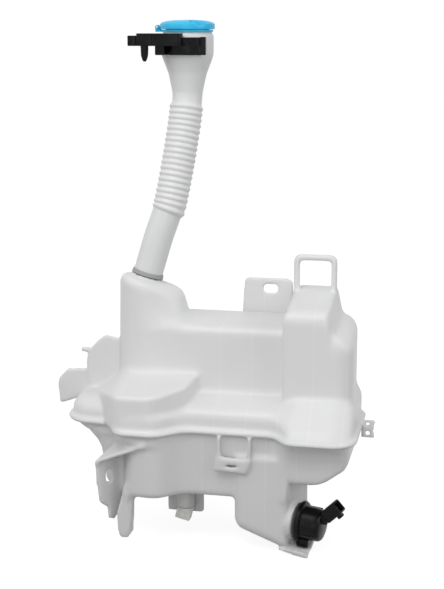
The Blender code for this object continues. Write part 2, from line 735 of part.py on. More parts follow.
def lower_shell():
    """The lower tank half: a tapered tray with the sump, the sensor boss and the fixing brackets."""
    seam = seam_corners()
    face = SEAM_Z - GAP / 2
    low = SEAM_Z - SEAM_HALF
    shell = loft("lower_tank_shell", PARTS, [
        ring_at(seam, face, 0.0004), ring_at(seam, face - 0.0008, 0.0), ring_at(seam, low + 0.0022, 0.0),
        ring_at(seam, low + 0.0006, 0.0012), ring_at(seam, low, 0.0040)], WHITE)
    outer = tray(CUTTERS, "_outer", 0.0, face)
    inner = tray(CUTTERS, "_inner", WALL, SEAM_Z + 0.010)
    frame = pump_frame()
    seat = rod("pump_seat", CUTTERS, GROMMET_R + 0.0008, -0.0090, 0.0, frame=frame, sides=WIDE)
    seat_bore = rod("pump_seat_bore", CUTTERS, PUMP_HOLE_R, -0.014, 0.010, frame=frame, sides=WIDE)
    relief = rod("pump_seat_relief", CUTTERS, PUMP_HOLE_R + 0.0037, -0.018, -WALL, frame=frame)
    boss_at = Matrix.Translation((*SENSOR, 0.0))
    boss = rod("sensor_boss", CUTTERS, BOSS_R, BOSS_LOW, FLOOR_Z + 0.0012, frame=boss_at)
    boss_bore = rod("sensor_bore", CUTTERS, BOSS_BORE, BOSS_LOW - 0.01, FLOOR_Z + 0.010, frame=boss_at)
    join(outer, seat, boss)
    join(inner, relief)
    join(shell, outer, *sensor_plate(), *front_frame(), *left_foot(), *pump_guard())
    cut(shell, inner, boss_bore, seat_bore)
    merge_flat(shell)
    return shell


def sensor_plate():
    """The flat guard plate behind the sensor boss, hanging from the floor."""
    outline = [tuple(p) for p in fillet_outline([
        (PLATE_X0, PLATE_LOW, 0.004), (PLATE_X1, PLATE_LOW, 0.004),
        (PLATE_X1, FLOOR_Z + 0.0017, 0.0005), (PLATE_X0, FLOOR_Z + 0.0017, 0.0005)])]
    at = (0, SENSOR[1] + BOSS_R + 0.0013, 0)
    return [plate("guard_plate", CUTTERS, outline, 0.0030, upright_frame(at))]


def front_frame():
    """The open frame on the front wall, for a cable clip: two ribs and a slotted cross plate."""
    wall = FRONT_Y + SEAM_REACH
    face = FRONT_Y - 0.004
    ribs = [box(name, CUTTERS, (x, face + 0.0005, -0.1500), (x + 0.0034, wall + 0.0012, SEAM_Z - 0.0020), bevel=0.0008)
            for name, x in (("frame_rib_left", -0.0345), ("frame_rib_right", -0.0032))]
    slot = rounded_box(-0.0250, -0.1515, -0.0140, -0.1495, 0.0008)
    outline = [tuple(p) for p in fillet_outline([
        (-0.0385, -0.1565, 0.002), (-0.0045, -0.1580, 0.002), (0.0010, -0.1430, 0.001), (-0.0350, -0.1410, 0.001)])]
    cross = plate("frame_cross", CUTTERS, outline, 0.0060, upright_frame((0, face + 0.0030, 0)), holes=[slot])
    stays = [box(name, CUTTERS, (x, face + 0.0010, -0.1552), (x + 0.0030, wall + 0.0012, -0.1420), bevel=0.0006)
             for name, x in (("frame_stay_left", -0.0355), ("frame_stay_right", -0.0055))]
    return [*ribs, cross, *stays]


def left_foot():
    """The sloping gusset at the lower left with its upright slotted plate and the leg."""
    def on_gusset(x, y):
        return Vector((x, y, GUSSET_TIP[2] + 0.487 * (x - GUSSET_TIP[0]) + 0.2065 * (y - GUSSET_TIP[1])))

    tip = Vector(GUSSET_TIP)
    along = (on_gusset(-0.106, -0.1335) - tip).normalized()
    up = along.cross(on_gusset(-0.143, -0.100) - tip).normalized()
    gusset_frame = Matrix.Translation(tip) @ Matrix((along, up.cross(along), up)).transposed().to_4x4()
    plan = [GUSSET_TIP[:2], (-0.106, -0.1335), (-0.104, -0.1200), (-0.124, -0.0920), (-0.143, -0.1000)]
    gusset = [tuple((gusset_frame.inverted() @ on_gusset(x, y)).xy) for x, y in plan]
    frame = upright_frame((tip.x + 0.0010, tip.y + 0.0010, 0.0), FOOT_TURN)
    slot = rounded_box(0.0125, -0.1755, 0.0190, -0.1620, 0.0030)
    upright = [(0.0, -0.1530), (0.0015, -0.1760), (0.0045, -0.1955), (0.0140, -0.2030), (0.0150, -0.2150),
               (0.0215, -0.2175), (0.0310, -0.2085), (0.0560, -0.1850), (0.0560, -0.1300), (0.0200, -0.1440)]
    leg_outline = [(-0.1395, -0.1850), (-0.1392, -0.2080), (-0.1380, -0.2300), (-0.1345, -0.2345),
                   (-0.1280, -0.2345), (-0.1250, -0.2300), (-0.1235, -0.2150), (-0.1230, -0.1850)]
    web_at = Matrix.Translation((-0.1270, -0.1200, 0)) @ Matrix.Rotation(math.radians(72), 4, "Z")
    web_at = web_at @ Matrix.Rotation(math.pi / 2, 4, "X")
    web = [(-0.003, -0.1840), (0.0, -0.2240), (0.004, -0.2310), (0.010, -0.2280), (0.014, -0.1840)]
    return [
        plate("foot_upright", CUTTERS, upright, BRACKET, frame, holes=[slot]),
        plate("foot_gusset", CUTTERS, gusset, BRACKET, gusset_frame),
        plate("foot_leg", CUTTERS, leg_outline, BRACKET, upright_frame((0, -0.1180, 0))),
        plate("foot_leg_web", CUTTERS, web, 0.0030, web_at),
    ]


def pump_guard():
    """The shield under the pump: a tapered shelf that climbs towards the back, with a lip along its front."""
    outward = Vector((math.cos(SUMP_TURN), -math.sin(SUMP_TURN), 0.0))
    across = Vector((math.sin(SUMP_TURN), math.cos(SUMP_TURN), 0.0))
    out = outward * math.cos(GUARD_DROP) - Vector((0, 0, math.sin(GUARD_DROP)))
    rise = out.cross(across * math.cos(GUARD_CLIMB) + Vector((0, 0, math.sin(GUARD_CLIMB)))).normalized()
    back = rise.cross(out)
    at = Matrix.Translation((SUMP_X1, SUMP_Y0, GUARD_Z)) @ Matrix((out, back, rise)).transposed().to_4x4()
    shelf = [(-0.0090, 0.0), (GUARD_OUT, 0.0), (GUARD_OUT, 0.0020), (GUARD_OUT - 0.0080, 0.0330), (-0.0090, 0.0330)]
    lip = box("guard_lip", CUTTERS, (-0.0010, -0.0008, -0.0016), (GUARD_OUT + 0.0002, 0.0016, 0.0048), frame=at, bevel=0.0006)
    return [plate("guard_shelf", CUTTERS, shelf, 0.0028, at), lip]


# Filler tube
def tube_path():
    """Centre line of the filler tube from its seat to its mouth, leaning right and back as it climbs."""
    neck, lean = Vector(NECK), neck_axis()
    bends = [
        neck - lean * SEAT_DEPTH, neck + lean * 0.006, neck + lean * 0.022,
        (-0.1109, -0.0460, 0.0695), (-0.1042, -0.0427, 0.0900), (-0.1000, -0.0398, 0.1030),
        (-0.0957, -0.0340, 0.1288), (-0.0923, -0.0280, 0.1541), (-0.0892, -0.0220, 0.1805),
        (-0.0873, -0.0180, 0.2010), (-0.0867, -0.0155, 0.2130), (-0.0867, -0.0138, 0.2350),
        (-0.0868, -0.0130, 0.2550), (-0.0868, -0.0130, MOUTH_TOP)]
    return [Vector(p) for p in bends]


def along_path(points, count):
    """Evenly spaced places and directions on a smooth curve through the points."""
    samples = []
    last = len(points) - 1
    for i in range(last):
        p0, p1, p2, p3 = (points[max(i - 1, 0)], points[i], points[i + 1], points[min(i + 2, last)])
        for k in range(12):
            t = k / 12
            samples.append(0.5 * ((2 * p1) + (p2 - p0) * t + (2 * p0 - 5 * p1 + 4 * p2 - p3) * t ** 2
                                  + (3 * p1 - p0 - 3 * p2 + p3) * t ** 3))
    samples.append(points[-1])
    xyz = np.array([tuple(p) for p in samples])
    steps = np.linalg.norm(np.diff(xyz, axis=0), axis=1)
    run = np.concatenate(([0.0], np.cumsum(steps)))
    at = np.linspace(0.0, run[-1], count) if isinstance(count, int) else np.asarray(count) * run[-1]
    places = np.stack([np.interp(at, run, xyz[:, a]) for a in range(3)], axis=1)
    ahead = np.stack([np.interp(np.minimum(at + 0.002, run[-1]), run, xyz[:, a]) for a in range(3)], axis=1)
    behind = np.stack([np.interp(np.maximum(at - 0.002, 0.0), run, xyz[:, a]) for a in range(3)], axis=1)
    return [Vector(p) for p in places], [Vector(d).normalized() for d in ahead - behind], run[-1]


def tube_sections():
    """Fractions of the tube's length with the outer radius at each, ridge by ridge."""
    length = along_path(tube_path(), 2)[2]
    z0, z1 = 0.095, 0.204                 # bellows between these heights
    top = MOUTH_TOP
    f = lambda z: fraction_at(z)
    foot = SOCKET_R - GAP - SLEEVE - GAP
    rows = [(0.0, foot), ((SEAT_DEPTH + 0.0011) / length, foot), ((SEAT_DEPTH + 0.0033) / length, TUBE_R),
            (f(0.070), TUBE_R), (f(z0 - 0.002), TUBE_R + 0.0004)]
    for k in range(RIDGES):
        a = z0 + (z1 - z0) * k / RIDGES
        b = z0 + (z1 - z0) * (k + 0.5) / RIDGES
        rows += [(f(a), VALLEY_R), (f(b), BELLOWS_R)]
    rows += [(f(z1), VALLEY_R), (f(0.208), WAIST_R), (f(0.216), WAIST_R + 0.0003),
             (f(0.226), WAIST_R + 0.0022), (f(0.236), 0.0198), (f(0.244), 0.0228), (f(0.251), 0.0256),
             (f(0.256), HEAD_R), (f(0.2735), HEAD_R), (f(0.2762), MOUTH_R + 0.0008), (f(0.2775), MOUTH_R),
             (1.0, MOUTH_R)]
    return rows, top


def fraction_at(z):
    """How far along the tube its centre line reaches height z, from 0 at the seat to 1 at the mouth."""
    places, _, _ = along_path(tube_path(), 240)
    heights = [p.z for p in places]
    return float(np.interp(z, heights, np.linspace(0.0, 1.0, len(heights))))


def filler_tube():
    """The blown filler tube: a plain lower run, nineteen ridges, a waist and the wide mouth."""
    rows, _ = tube_sections()
    fractions = [f for f, _ in rows]
    places, directions, _ = along_path(tube_path(), fractions)
    outside = [ring_round(p, d, r) for p, d, (_, r) in zip(places, directions, rows)]
    lining = [i for i, (_, r) in enumerate(rows) if not (r == BELLOWS_R or (r == VALLEY_R and i % 4))]
    inside = [ring_round(places[i], directions[i], rows[i][1] - TUBE_WALL) for i in lining]
    bm = bmesh.new()
    loops = [[bm.verts.new(p) for p in ring] for ring in outside + inside[::-1]]
    for low, high in zip(loops, loops[1:] + loops[:1]):
        for i in range(len(low)):
            j = (i + 1) % len(low)
            bm.faces.new((low[i], low[j], high[j], high[i]))
    bmesh.ops.recalc_face_normals(bm, faces=bm.faces)
    return link(from_bmesh(bm, "filler_tube"), PARTS, WHITE)


def neck_grommet():
    """Rubber sleeve between the tube's foot and the tower's neck, with a flared collar above it."""
    outer = SOCKET_R - GAP
    inner = outer - SLEEVE
    profile = [(TUBE_R + GAP + 0.0006, COLLAR_H), (NECK_R + 0.0004, GAP), (outer, GAP), (outer, -SEAT_DEPTH + 0.001),
               (inner, -SEAT_DEPTH + 0.001), (inner, 0.0010), (TUBE_R + GAP, 0.0032), (TUBE_R + GAP, COLLAR_H)]
    return turned("neck_grommet", PARTS, profile, RUBBER, axis_frame(NECK, neck_axis()), WIDE)


# Cap
def put_on_pivot(name, place, *pieces):
    """An empty on the joint's axis carries the pieces that move about it."""
    pivot = bpy.data.objects.new(name, None)
    pivot.matrix_world = place
    pivot.empty_display_size = 0.01
    PARTS.objects.link(pivot)
    for piece in pieces:
        piece.parent = pivot
        piece.matrix_parent_inverse = place.inverted()


def neck_centre():
    return Vector((tube_path()[-1].x, tube_path()[-1].y, 0.0))


def cap_hinge_x():
    return neck_centre().x - CAP_R - HINGE_OUT


def filler_cap():
    """The snap cap: a shallow dome with a skirt, a thumb recess on the right and a hinge knuckle."""
    r, base = CAP_R, CAP_BASE
    roof = base + CAP_EDGE - 0.0018
    profile = [(0, base + CAP_EDGE + CAP_DOME)]
    for k in range(1, 5):
        a = math.pi / 2 * k / 4
        profile.append((r * math.sin(a) ** 0.75, base + CAP_EDGE + CAP_DOME * math.cos(a)))
    plug = MOUTH_R - TUBE_WALL - GAP
    profile += [(r, base), (r - CAP_SKIRT, base), (r - CAP_SKIRT, roof), (plug, roof), (plug, base),
                (plug - 0.0010, base - 0.0045), (plug - 0.0016, base - 0.0045), (plug - 0.0016, roof + 0.0002), (0, roof + 0.0002)]
    at = Matrix.Translation(neck_centre())
    cap = turned("filler_cap", PARTS, profile, BLUE, at, sides=WIDE)
    recess = box("thumb_recess", CUTTERS, (CAP_R - 0.0220, -0.0230, base + 0.0034),
                 (CAP_R - 0.0060, -0.0105, base + 0.0120), frame=at, bevel=0.001)
    hinge_x = cap_hinge_x() - neck_centre().x
    tongue = box("cap_tongue", CUTTERS, (hinge_x - 0.0002, -0.0040, base + 0.0006),
                 (hinge_x + HINGE_OUT + 0.0007, 0.0040, base + 0.0036), frame=at)
    knuckle_at = Matrix.Translation((cap_hinge_x(), neck_centre().y, base + KNUCKLE_RISE)) @ Matrix.Rotation(math.pi / 2, 4, "X")
    knuckle = rod("cap_knuckle", CUTTERS, 0.0023, -0.0040, 0.0040, frame=knuckle_at, sides=12)
    bore = rod("cap_knuckle_bore", CUTTERS, HINGE_PIN_R + 0.0002, -0.006, 0.006, frame=knuckle_at, sides=12)
    join(cap, tongue, knuckle)
    cut(cap, recess, bore)
    return cap


def cap_ring():
    """The ring snapped round the mouth that carries the cap's hinge ears."""
    at = Matrix.Translation(neck_centre())
    low, high = MOUTH_TOP - 0.0022, CAP_BASE - 0.0004
    ring = turned("cap_ring", PARTS, [
        (MOUTH_R + 0.0019, high), (MOUTH_R + 0.0019, low), (MOUTH_R + GAP, low), (MOUTH_R + GAP, high)],
        BLUE, at, sides=WIDE)
    hinge_x = cap_hinge_x() - neck_centre().x
    z = CAP_BASE + KNUCKLE_RISE
    ears = []
    for side, name in ((1, "ring_eye_back"), (-1, "ring_eye_front")):
        y0, y1 = sorted((side * 0.0043, side * 0.0068))
        eye_at = at @ Matrix.Translation((hinge_x, 0, z)) @ Matrix.Rotation(math.pi / 2, 4, "X")
        ears.append(rod(name, CUTTERS, EYE_R, -y1, -y0, frame=eye_at, sides=12))
        ears.append(box(name + "_post", CUTTERS, (hinge_x - EYE_R + 0.0003, y0 + 0.0001, low + 0.0002),
                        (hinge_x + EYE_R - 0.0003, y1 - 0.0001, z), frame=at))
        ears.append(box(name + "_root", CUTTERS, (hinge_x, y0 + 0.0002, low + 0.0004),
                        (-MOUTH_R - 0.0009, y1 - 0.0002, high - 0.0002), frame=at))
    join(ring, *ears)
    bore_at = Matrix.Translation((cap_hinge_x(), neck_centre().y, z)) @ Matrix.Rotation(math.pi / 2, 4, "X")
    cut(ring, rod("ring_ear_bore", CUTTERS, HINGE_PIN_R + GAP, -0.010, 0.010, frame=bore_at, sides=12))
    rod("cap_hinge_pin", PARTS, HINGE_PIN_R, -0.0070, 0.0070, STEEL, bore_at, sides=12)
    return ring


def cap_seal():
    """Soft washer in the cap, which closes on the mouth's rim."""
    outer = CAP_R - CAP_SKIRT - GAP
    low, high = MOUTH_TOP + GAP, CAP_BASE + CAP_EDGE - 0.0018 - GAP
    inner = MOUTH_R - TUBE_WALL
    return tube("cap_seal", PARTS, outer, inner, low + 0.0006, high, RUBBER, Matrix.Translation(neck_centre()), WIDE)


# Neck clip
def neck_clip():
    """Black clip that snaps round the mouth: a C-shaped band, a bar with a tab and a locating pin."""
    centre = neck_centre()
    r0, r1 = HEAD_R + GAP, HEAD_R + GAP + CLIP_T

    def arc(start, end, inner, outer, steps=12):
        span = np.radians(np.linspace(start, end, steps + 1))
        out = [(outer * math.cos(a), outer * math.sin(a)) for a in span]
        back = [(inner * math.cos(a), inner * math.sin(a)) for a in span[::-1]]
        return out + back

    flat = lambda z: Matrix.Translation((centre.x, centre.y, z))
    low_h, high_h = CLIP_MID - CLIP_LOW, CLIP_HIGH - 0.004 - CLIP_LOW
    clip = plate("neck_clip", PARTS, arc(120, 318, r0 - 0.0008, r1 + 0.0012), low_h, flat(CLIP_LOW + low_h / 2), BLACK)
    upper = plate("clip_band", CUTTERS, arc(152, 316, r0 - 0.0008, r1 - 0.0006), high_h, flat(CLIP_LOW + high_h / 2))
    post_angle = math.radians(314)
    post = (centre.x + (r1 + 0.0006) * math.cos(post_angle), centre.y + (r1 + 0.0006) * math.sin(post_angle))
    post_body = box("clip_post", CUTTERS, (post[0] - 0.0028, post[1] - 0.0022, CLIP_LOW),
                    (post[0] + 0.0028, post[1] + 0.0020, CLIP_HIGH - 0.0035), bevel=0.0006)
    y_face = centre.y - r1 - 0.0085
    bar_end = (centre.x + 0.0020, y_face)
    plan = [tuple(p) for p in fillet_outline([
        (CLIP_BAR_X0, y_face, 0.0015), (bar_end[0], y_face, 0.0040), (bar_end[0], y_face + 0.0100, 0.0006),
        (centre.x - 0.0150, y_face + 0.0125, 0.0010), (CLIP_BAR_X0, y_face + 0.0105, 0.0015)])]
    bar_h = CLIP_HIGH - CLIP_MID
    bar = plate("clip_bar", CUTTERS, plan, bar_h, Matrix.Translation((0, 0, CLIP_MID + bar_h / 2)))
    pocket = box("clip_pocket", CUTTERS, (CLIP_BAR_X0 + 0.0160, y_face - 0.002, CLIP_MID + 0.0022),
                 (CLIP_BAR_X0 + 0.0200, y_face + 0.0015, CLIP_HIGH - 0.0015))
    tab = box("clip_tab", CUTTERS, (CLIP_TAB_X0, y_face + 0.0015, CLIP_MID),
              (CLIP_BAR_X0 + 0.001, y_face + 0.0085, CLIP_HIGH - 0.0022), bevel=0.0006)
    notch = box("clip_notch", CUTTERS, (CLIP_BAR_X0 - 0.0013, y_face - 0.001, CLIP_MID - 0.001),
                (CLIP_BAR_X0 - 0.0003, y_face + 0.0035, CLIP_HIGH))
    block_x = centre.x - 0.0205
    leg = box("clip_block", CUTTERS, (block_x - 0.0048, y_face + 0.0020, CLIP_LOW),
              (block_x + 0.0048, y_face + 0.0120, CLIP_MID + 0.001), bevel=0.0008)
    pin_y = y_face + 0.0052
    pin_top = CLIP_MID + 0.001
    pin = turned("clip_pin", CUTTERS, [
        (0, pin_top), (CLIP_PIN_R, pin_top), (CLIP_PIN_R - 0.0004, CLIP_MID - 0.6 * CLIP_PIN_LEN),
        (CLIP_PIN_R - 0.0018, CLIP_MID - 0.9 * CLIP_PIN_LEN), (0.0012, CLIP_MID - CLIP_PIN_LEN),
        (0, CLIP_MID - CLIP_PIN_LEN)], frame=Matrix.Translation((CLIP_PIN_X, pin_y, 0)), sides=12)
    join(clip, upper, bar, tab, leg, post_body, pin)
    bore = rod("clip_bore", CUTTERS, r0, CLIP_LOW - 0.01, CLIP_HIGH + 0.01, frame=flat(0.0), sides=WIDE)
    cut(clip, bore, pocket, notch)
    merge_flat(clip)
    return clip


# Pump, all along the local Z of the pump frame
def pump_grommet(frame):
    """Rubber grommet in the sump's hole: an outer rim, a waist in the wall and an inner lip."""
    bore = SPIGOT_R + GAP
    profile = [(GROMMET_R, 0.0030), (GROMMET_R + 0.0006, 0.0018), (GROMMET_R, GAP), (PUMP_HOLE_R - GAP, GAP),
               (PUMP_HOLE_R - GAP, -WALL - GAP), (PUMP_HOLE_R + 0.0016, -WALL - GAP),
               (PUMP_HOLE_R + 0.0004, -WALL - 0.0030), (bore, -WALL - 0.0036), (bore, 0.0030)]
    return turned("pump_grommet", PARTS, profile, RUBBER, frame, sides=WIDE)


def pump_housing(frame):
    """Moulded pump body: inlet spigot, rimmed flange, impeller chamber, motor barrel and outlet stub."""
    z = 0.0030 + GAP
    end = z + PUMP_LEN
    chamber = IMPELLER_R + 0.0012
    barrel = MOTOR_R + GAP
    outside = [(PUMP_R - 0.0008, end), (PUMP_R, end - 0.0060), (PUMP_R, z + 0.0052), (PUMP_FLANGE_R - 0.0008, z + 0.0046),
               (PUMP_FLANGE_R, z + 0.0032), (PUMP_FLANGE_R, z + 0.0010), (PUMP_FLANGE_R - 0.0008, z),
               (SPIGOT_R, z), (SPIGOT_R, -SPIGOT_LEN + 0.0010), (SPIGOT_R - 0.0008, -SPIGOT_LEN)]
    inside = [(INLET_R, -SPIGOT_LEN), (INLET_R, z + 0.0012), (chamber, z + 0.0012), (chamber, z + 0.0062),
              (SHAFT_R + 0.0030, z + 0.0062), (SHAFT_R + 0.0030, z + 0.0082), (barrel, z + 0.0082), (barrel, end)]
    body = turned("pump_housing", PARTS, outside + inside, BLACK, frame, sides=WIDE)
    behind = frame @ Matrix.Translation((0.0, -0.0105, z + 0.0046)) @ Matrix.Rotation(math.pi / 2, 4, "Y")
    outlet = turned("outlet_outer", CUTTERS, [
        (0, NOZZLE_REACH), (NOZZLE_R - 0.0014, NOZZLE_REACH), (NOZZLE_R, NOZZLE_REACH - 0.0022),
        (NOZZLE_R, NOZZLE_REACH - 0.0034), (NOZZLE_R - 0.0018, NOZZLE_REACH - 0.0034),
        (NOZZLE_R - 0.0018, 0.0125), (0, 0.0125)], frame=behind)
    outlet_bore = rod("outlet_bore", CUTTERS, 0.0024, 0.0, NOZZLE_REACH + 0.004, frame=behind, sides=12)
    block = box("outlet_block", CUTTERS, (-0.0120, -0.0225, z + 0.0012), (-0.0015, -0.0136, z + 0.0136), frame=frame, bevel=0.0010)
    ribs = []
    for k in range(3):
        turn = Matrix.Rotation(math.radians((50, 150, 215)[k]), 4, "Z")
        ribs.append(box(f"pump_rib_{k}", CUTTERS, (PUMP_R - 0.0010, -0.0016, z + 0.0045),
                        (PUMP_R + 0.0008, 0.0016, end - 0.002), frame=frame @ turn))
    join(body, outlet, block, *ribs)
    cut(body, outlet_bore)
    merge_flat(body)
    return body


def pump_end_cap(frame):
    """The cap on the barrel's far end, with the connector socket rising from it."""
    base = 0.0030 + GAP + PUMP_LEN + GAP
    lid = turned("pump_end_cap", PARTS, [
        (0, base + 0.0040), (PUMP_R - 0.0060, base + 0.0038), (PUMP_R - 0.0022, base + 0.0026), (PUMP_R - 0.0009, base + 0.0010),
        (PUMP_R - 0.0009, base), (0, base)], BLACK, frame, sides=WIDE)
    socket_at = frame @ Matrix.Translation((0, PUMP_R * 0.42, base + 0.0022)) @ Matrix.Rotation(-SOCKET_TILT, 4, "X")
    shroud = box("socket_outer", CUTTERS, (-0.0078, -0.0068, 0.0052), (0.0078, 0.0068, 0.0240), frame=socket_at, bevel=0.0012)
    latch = box("socket_latch", CUTTERS, (-0.0032, -0.0102, 0.0150), (0.0032, -0.0058, 0.0205), frame=socket_at, bevel=0.0005)
    neck = box("socket_neck", CUTTERS, (-0.0068, 0.0040, base + 0.0005), (0.0068, 0.0140, base + 0.0085), frame=frame,
               bevel=0.001)
    well = box("socket_well", CUTTERS, (-0.0062, -0.0052, 0.0110), (0.0062, 0.0052, 0.0300), frame=socket_at)
    holes = [box(f"terminal_hole_{k}", CUTTERS, (x - 0.0015, -0.0007, 0.0050), (x + 0.0015, 0.0007, 0.0140), frame=socket_at)
             for k, x in enumerate((-0.0030, 0.0030))]
    bearing_seat = rod("end_bearing_seat", CUTTERS, 0.0034, base - 0.001, base + 0.0022, frame=frame, sides=12)
    join(lid, neck, shroud, latch)
    cut(lid, well, bearing_seat, *holes)
    for k, x in enumerate((-0.0030, 0.0030)):
        box(f"pump_terminal_{k + 1}", PARTS, (x - 0.0012, -0.0004, 0.0053), (x + 0.0012, 0.0004, 0.0195), BRASS,
            frame=socket_at)
    return lid


def pump_inside(frame):
    """Motor and impeller: steel can, two magnets, armature on its shaft, commutator, bushes, impeller."""
    z = 0.0030 + GAP
    floor = z + 0.0082 + GAP
    end = z + PUMP_LEN
    can_in = MOTOR_R - 0.0009
    turned("motor_can", PARTS, [
        (MOTOR_R, end - GAP), (MOTOR_R, floor), (SHAFT_R + 0.0032, floor), (SHAFT_R + 0.0032, floor + 0.0009),
        (can_in, floor + 0.0009), (can_in, end - GAP)], STEEL, frame, sides=WIDE)
    half_gap = math.radians(14)
    span = np.linspace(half_gap, math.pi - half_gap, 11)
    outer, inner = can_in - GAP, can_in - 0.0028
    arc = [(outer * math.cos(a), outer * math.sin(a)) for a in span]
    arc += [(inner * math.cos(a), inner * math.sin(a)) for a in span[::-1]]
    height = 0.0078
    for k in range(2):
        at = frame @ Matrix.Translation((0, 0, floor + 0.0012 + height / 2)) @ Matrix.Rotation(math.pi * k, 4, "Z")
        plate(f"motor_magnet_{k + 1}", PARTS, arc, height, at, FERRITE)
    rod("motor_shaft", PARTS, SHAFT_R, z + 0.0020, end + GAP + 0.0016, STEEL, frame, sides=12)
    poles = []
    pole_r = inner - RUN
    for k in range(3):
        for step in (-38, -20, 0, 20, 38):
            a = math.radians(120 * k + step)
            poles.append((pole_r * math.cos(a), pole_r * math.sin(a)))
        for step in (44, 60, 76):
            a = math.radians(120 * k + step)
            poles.append((pole_r * 0.55 * math.cos(a), pole_r * 0.55 * math.sin(a)))
    hole = [((SHAFT_R + GAP) * math.cos(a), (SHAFT_R + GAP) * math.sin(a)) for a in np.linspace(0, 2 * math.pi, 17)[:-1]]
    plate("motor_armature", PARTS, poles, 0.0070, frame @ Matrix.Translation((0, 0, floor + 0.0052)), STEEL,
          holes=[hole[::-1]])
    tube("motor_commutator", PARTS, 0.0032, SHAFT_R + GAP, floor + 0.0090, floor + 0.0115, COPPER, frame, 12)
    for k, x in enumerate((-1, 1)):
        low, high = sorted((x * (0.0032 + GAP), x * (can_in - GAP - 0.0008)))
        box(f"motor_brush_{k + 1}", PARTS, (low, -0.0011, floor + 0.0093), (high, 0.0011, floor + 0.0112), CARBON,
            frame=frame)
    tube("front_bush", PARTS, SHAFT_R + 0.0030 - GAP, SHAFT_R + 0.0001, z + 0.0064, z + 0.0080, BRASS, frame, 12)
    tube("rear_bush", PARTS, 0.0034 - GAP, SHAFT_R + 0.0001, end + GAP + 0.0002, end + GAP + 0.0019, BRASS, frame, 12)
    impeller(frame, z)


def impeller(frame, z):
    """Open impeller: a disc with a hub and six straight blades on the inlet side."""
    high = z + 0.0060
    disc = turned("impeller", PARTS, [
        (IMPELLER_R, high - 0.0002), (IMPELLER_R, high - 0.0012), (0.0030, high - 0.0012), (0.0030, high - 0.0040),
        (SHAFT_R + GAP, high - 0.0040), (SHAFT_R + GAP, high - 0.0002)], BLACK, frame, sides=WIDE)
    blades = [box(f"blade_{k}", CUTTERS, (0.0024, -0.0005, high - 0.0040), (IMPELLER_R - 0.0004, 0.0005, high - 0.0010),
                  frame=frame @ Matrix.Rotation(math.radians(60 * k), 4, "Z")) for k in range(6)]
    join(disc, *blades)
    return disc


def inlet_strainer(frame):
    """The slotted thimble over the pump's inlet, inside the sump."""
    near = -SPIGOT_LEN + 0.0030
    r_in = SPIGOT_R + GAP
    length = 0.0150
    cup = turned("inlet_strainer", PARTS, [
        (r_in + 0.0011, near), (r_in + 0.0011, near - length), (0, near - length - 0.0020),
        (0, near - length - 0.0009), (r_in, near - length + 0.0010), (r_in, near)], WHITE, frame, sides=WIDE)
    slots = [box(f"strainer_slot_{k}", CUTTERS, (r_in - 0.002, -0.0011, near - length + 0.0020),
                 (r_in + 0.003, 0.0011, near - 0.0045),
                 frame=frame @ Matrix.Rotation(math.radians(60 * k + 30), 4, "Z")) for k in range(6)]
    cut(cup, *slots)
    return cup


# Level sensor
def level_sensor():
    """Reed sensor pushed up through the boss: a ribbed plug below and the stem that guides the float."""
    at = Matrix.Translation((*SENSOR, 0.0))
    lip = BOSS_LOW - GAP
    body = turned("sensor_body", PARTS, [
        (0, STEM_TOP), (STEM_R - 0.0006, STEM_TOP), (STEM_R, STEM_TOP - 0.0008), (STEM_R, FLOOR_Z + WALL - 0.0005),
        (BOSS_BORE - 0.0016, FLOOR_Z + WALL - 0.0005), (BOSS_BORE - 0.0016, lip + 0.0016), (BOSS_BORE - GAP, lip + 0.0016),
        (BOSS_BORE - GAP, lip), (BOSS_R - 0.0006, lip), (BOSS_R - 0.0006, lip - 0.0016), (BOSS_R - 0.0014, lip - 0.0022),
        (BOSS_R - 0.0014, lip - 0.0046), (0, lip - 0.0046)], IVORY, at)
    plug_at = at @ Matrix.Translation((0, 0, lip)) @ Matrix.Rotation(PLUG_LEAN, 4, "Y")
    shroud = box("plug_shroud", CUTTERS, (-0.0078, -0.0058, -0.0130), (0.0078, 0.0058, -0.0026), frame=plug_at, bevel=0.0008)
    catch = box("plug_catch", CUTTERS, (-0.0026, -0.0078, -0.0100), (0.0026, -0.0050, -0.0050), frame=plug_at, bevel=0.0004)
    socket = box("plug_socket", CUTTERS, (-0.0062, -0.0043, -0.0200), (0.0062, 0.0043, -0.0062), frame=plug_at)
    pins = [rod(f"pin_hole_{k}", CUTTERS, 0.0011, -0.0100, -0.0024, frame=plug_at @ Matrix.Translation((x, 0, 0)), sides=12)
            for k, x in enumerate((-0.0026, 0.0026))]
    join(body, shroud, catch)
    cut(body, socket, *pins)
    merge_flat(body)
    for k, x in enumerate((-0.0026, 0.0026)):
        rod(f"sensor_terminal_{k + 1}", PARTS, 0.0008, -0.0118, -0.0027, BRASS,
            plug_at @ Matrix.Translation((x, 0, 0)), sides=12)
    tube("sensor_seal", PARTS, BOSS_BORE - GAP, BOSS_BORE - 0.0016 + GAP, lip + 0.0016 + GAP, lip + 0.0046, RUBBER, at)
    rest = FLOOR_Z + WALL + GAP
    tube("sensor_float", PARTS, FLOAT_R, STEM_R + RUN, rest, rest + FLOAT_H, FOAM, at)
    tube("float_stop", PARTS, STEM_R + 0.0026, STEM_R + GAP, rest + FLOAT_H + FLOAT_TRAVEL + GAP,
         rest + FLOAT_H + FLOAT_TRAVEL + 0.0022, IVORY, at)
    return body


def build():
    frame = pump_frame()
    upper_shell()
    lower_shell()
    filler_tube()
    neck_grommet()
    cap = filler_cap()
    cap_ring()
    seal = cap_seal()
    put_on_pivot("cap_pivot", Matrix.Translation((cap_hinge_x(), neck_centre().y, CAP_BASE + KNUCKLE_RISE)), cap, seal)
    neck_clip()
    pump_grommet(frame)
    pump_housing(frame)
    pump_end_cap(frame)
    pump_inside(frame)
    inlet_strainer(frame)
    level_sensor()


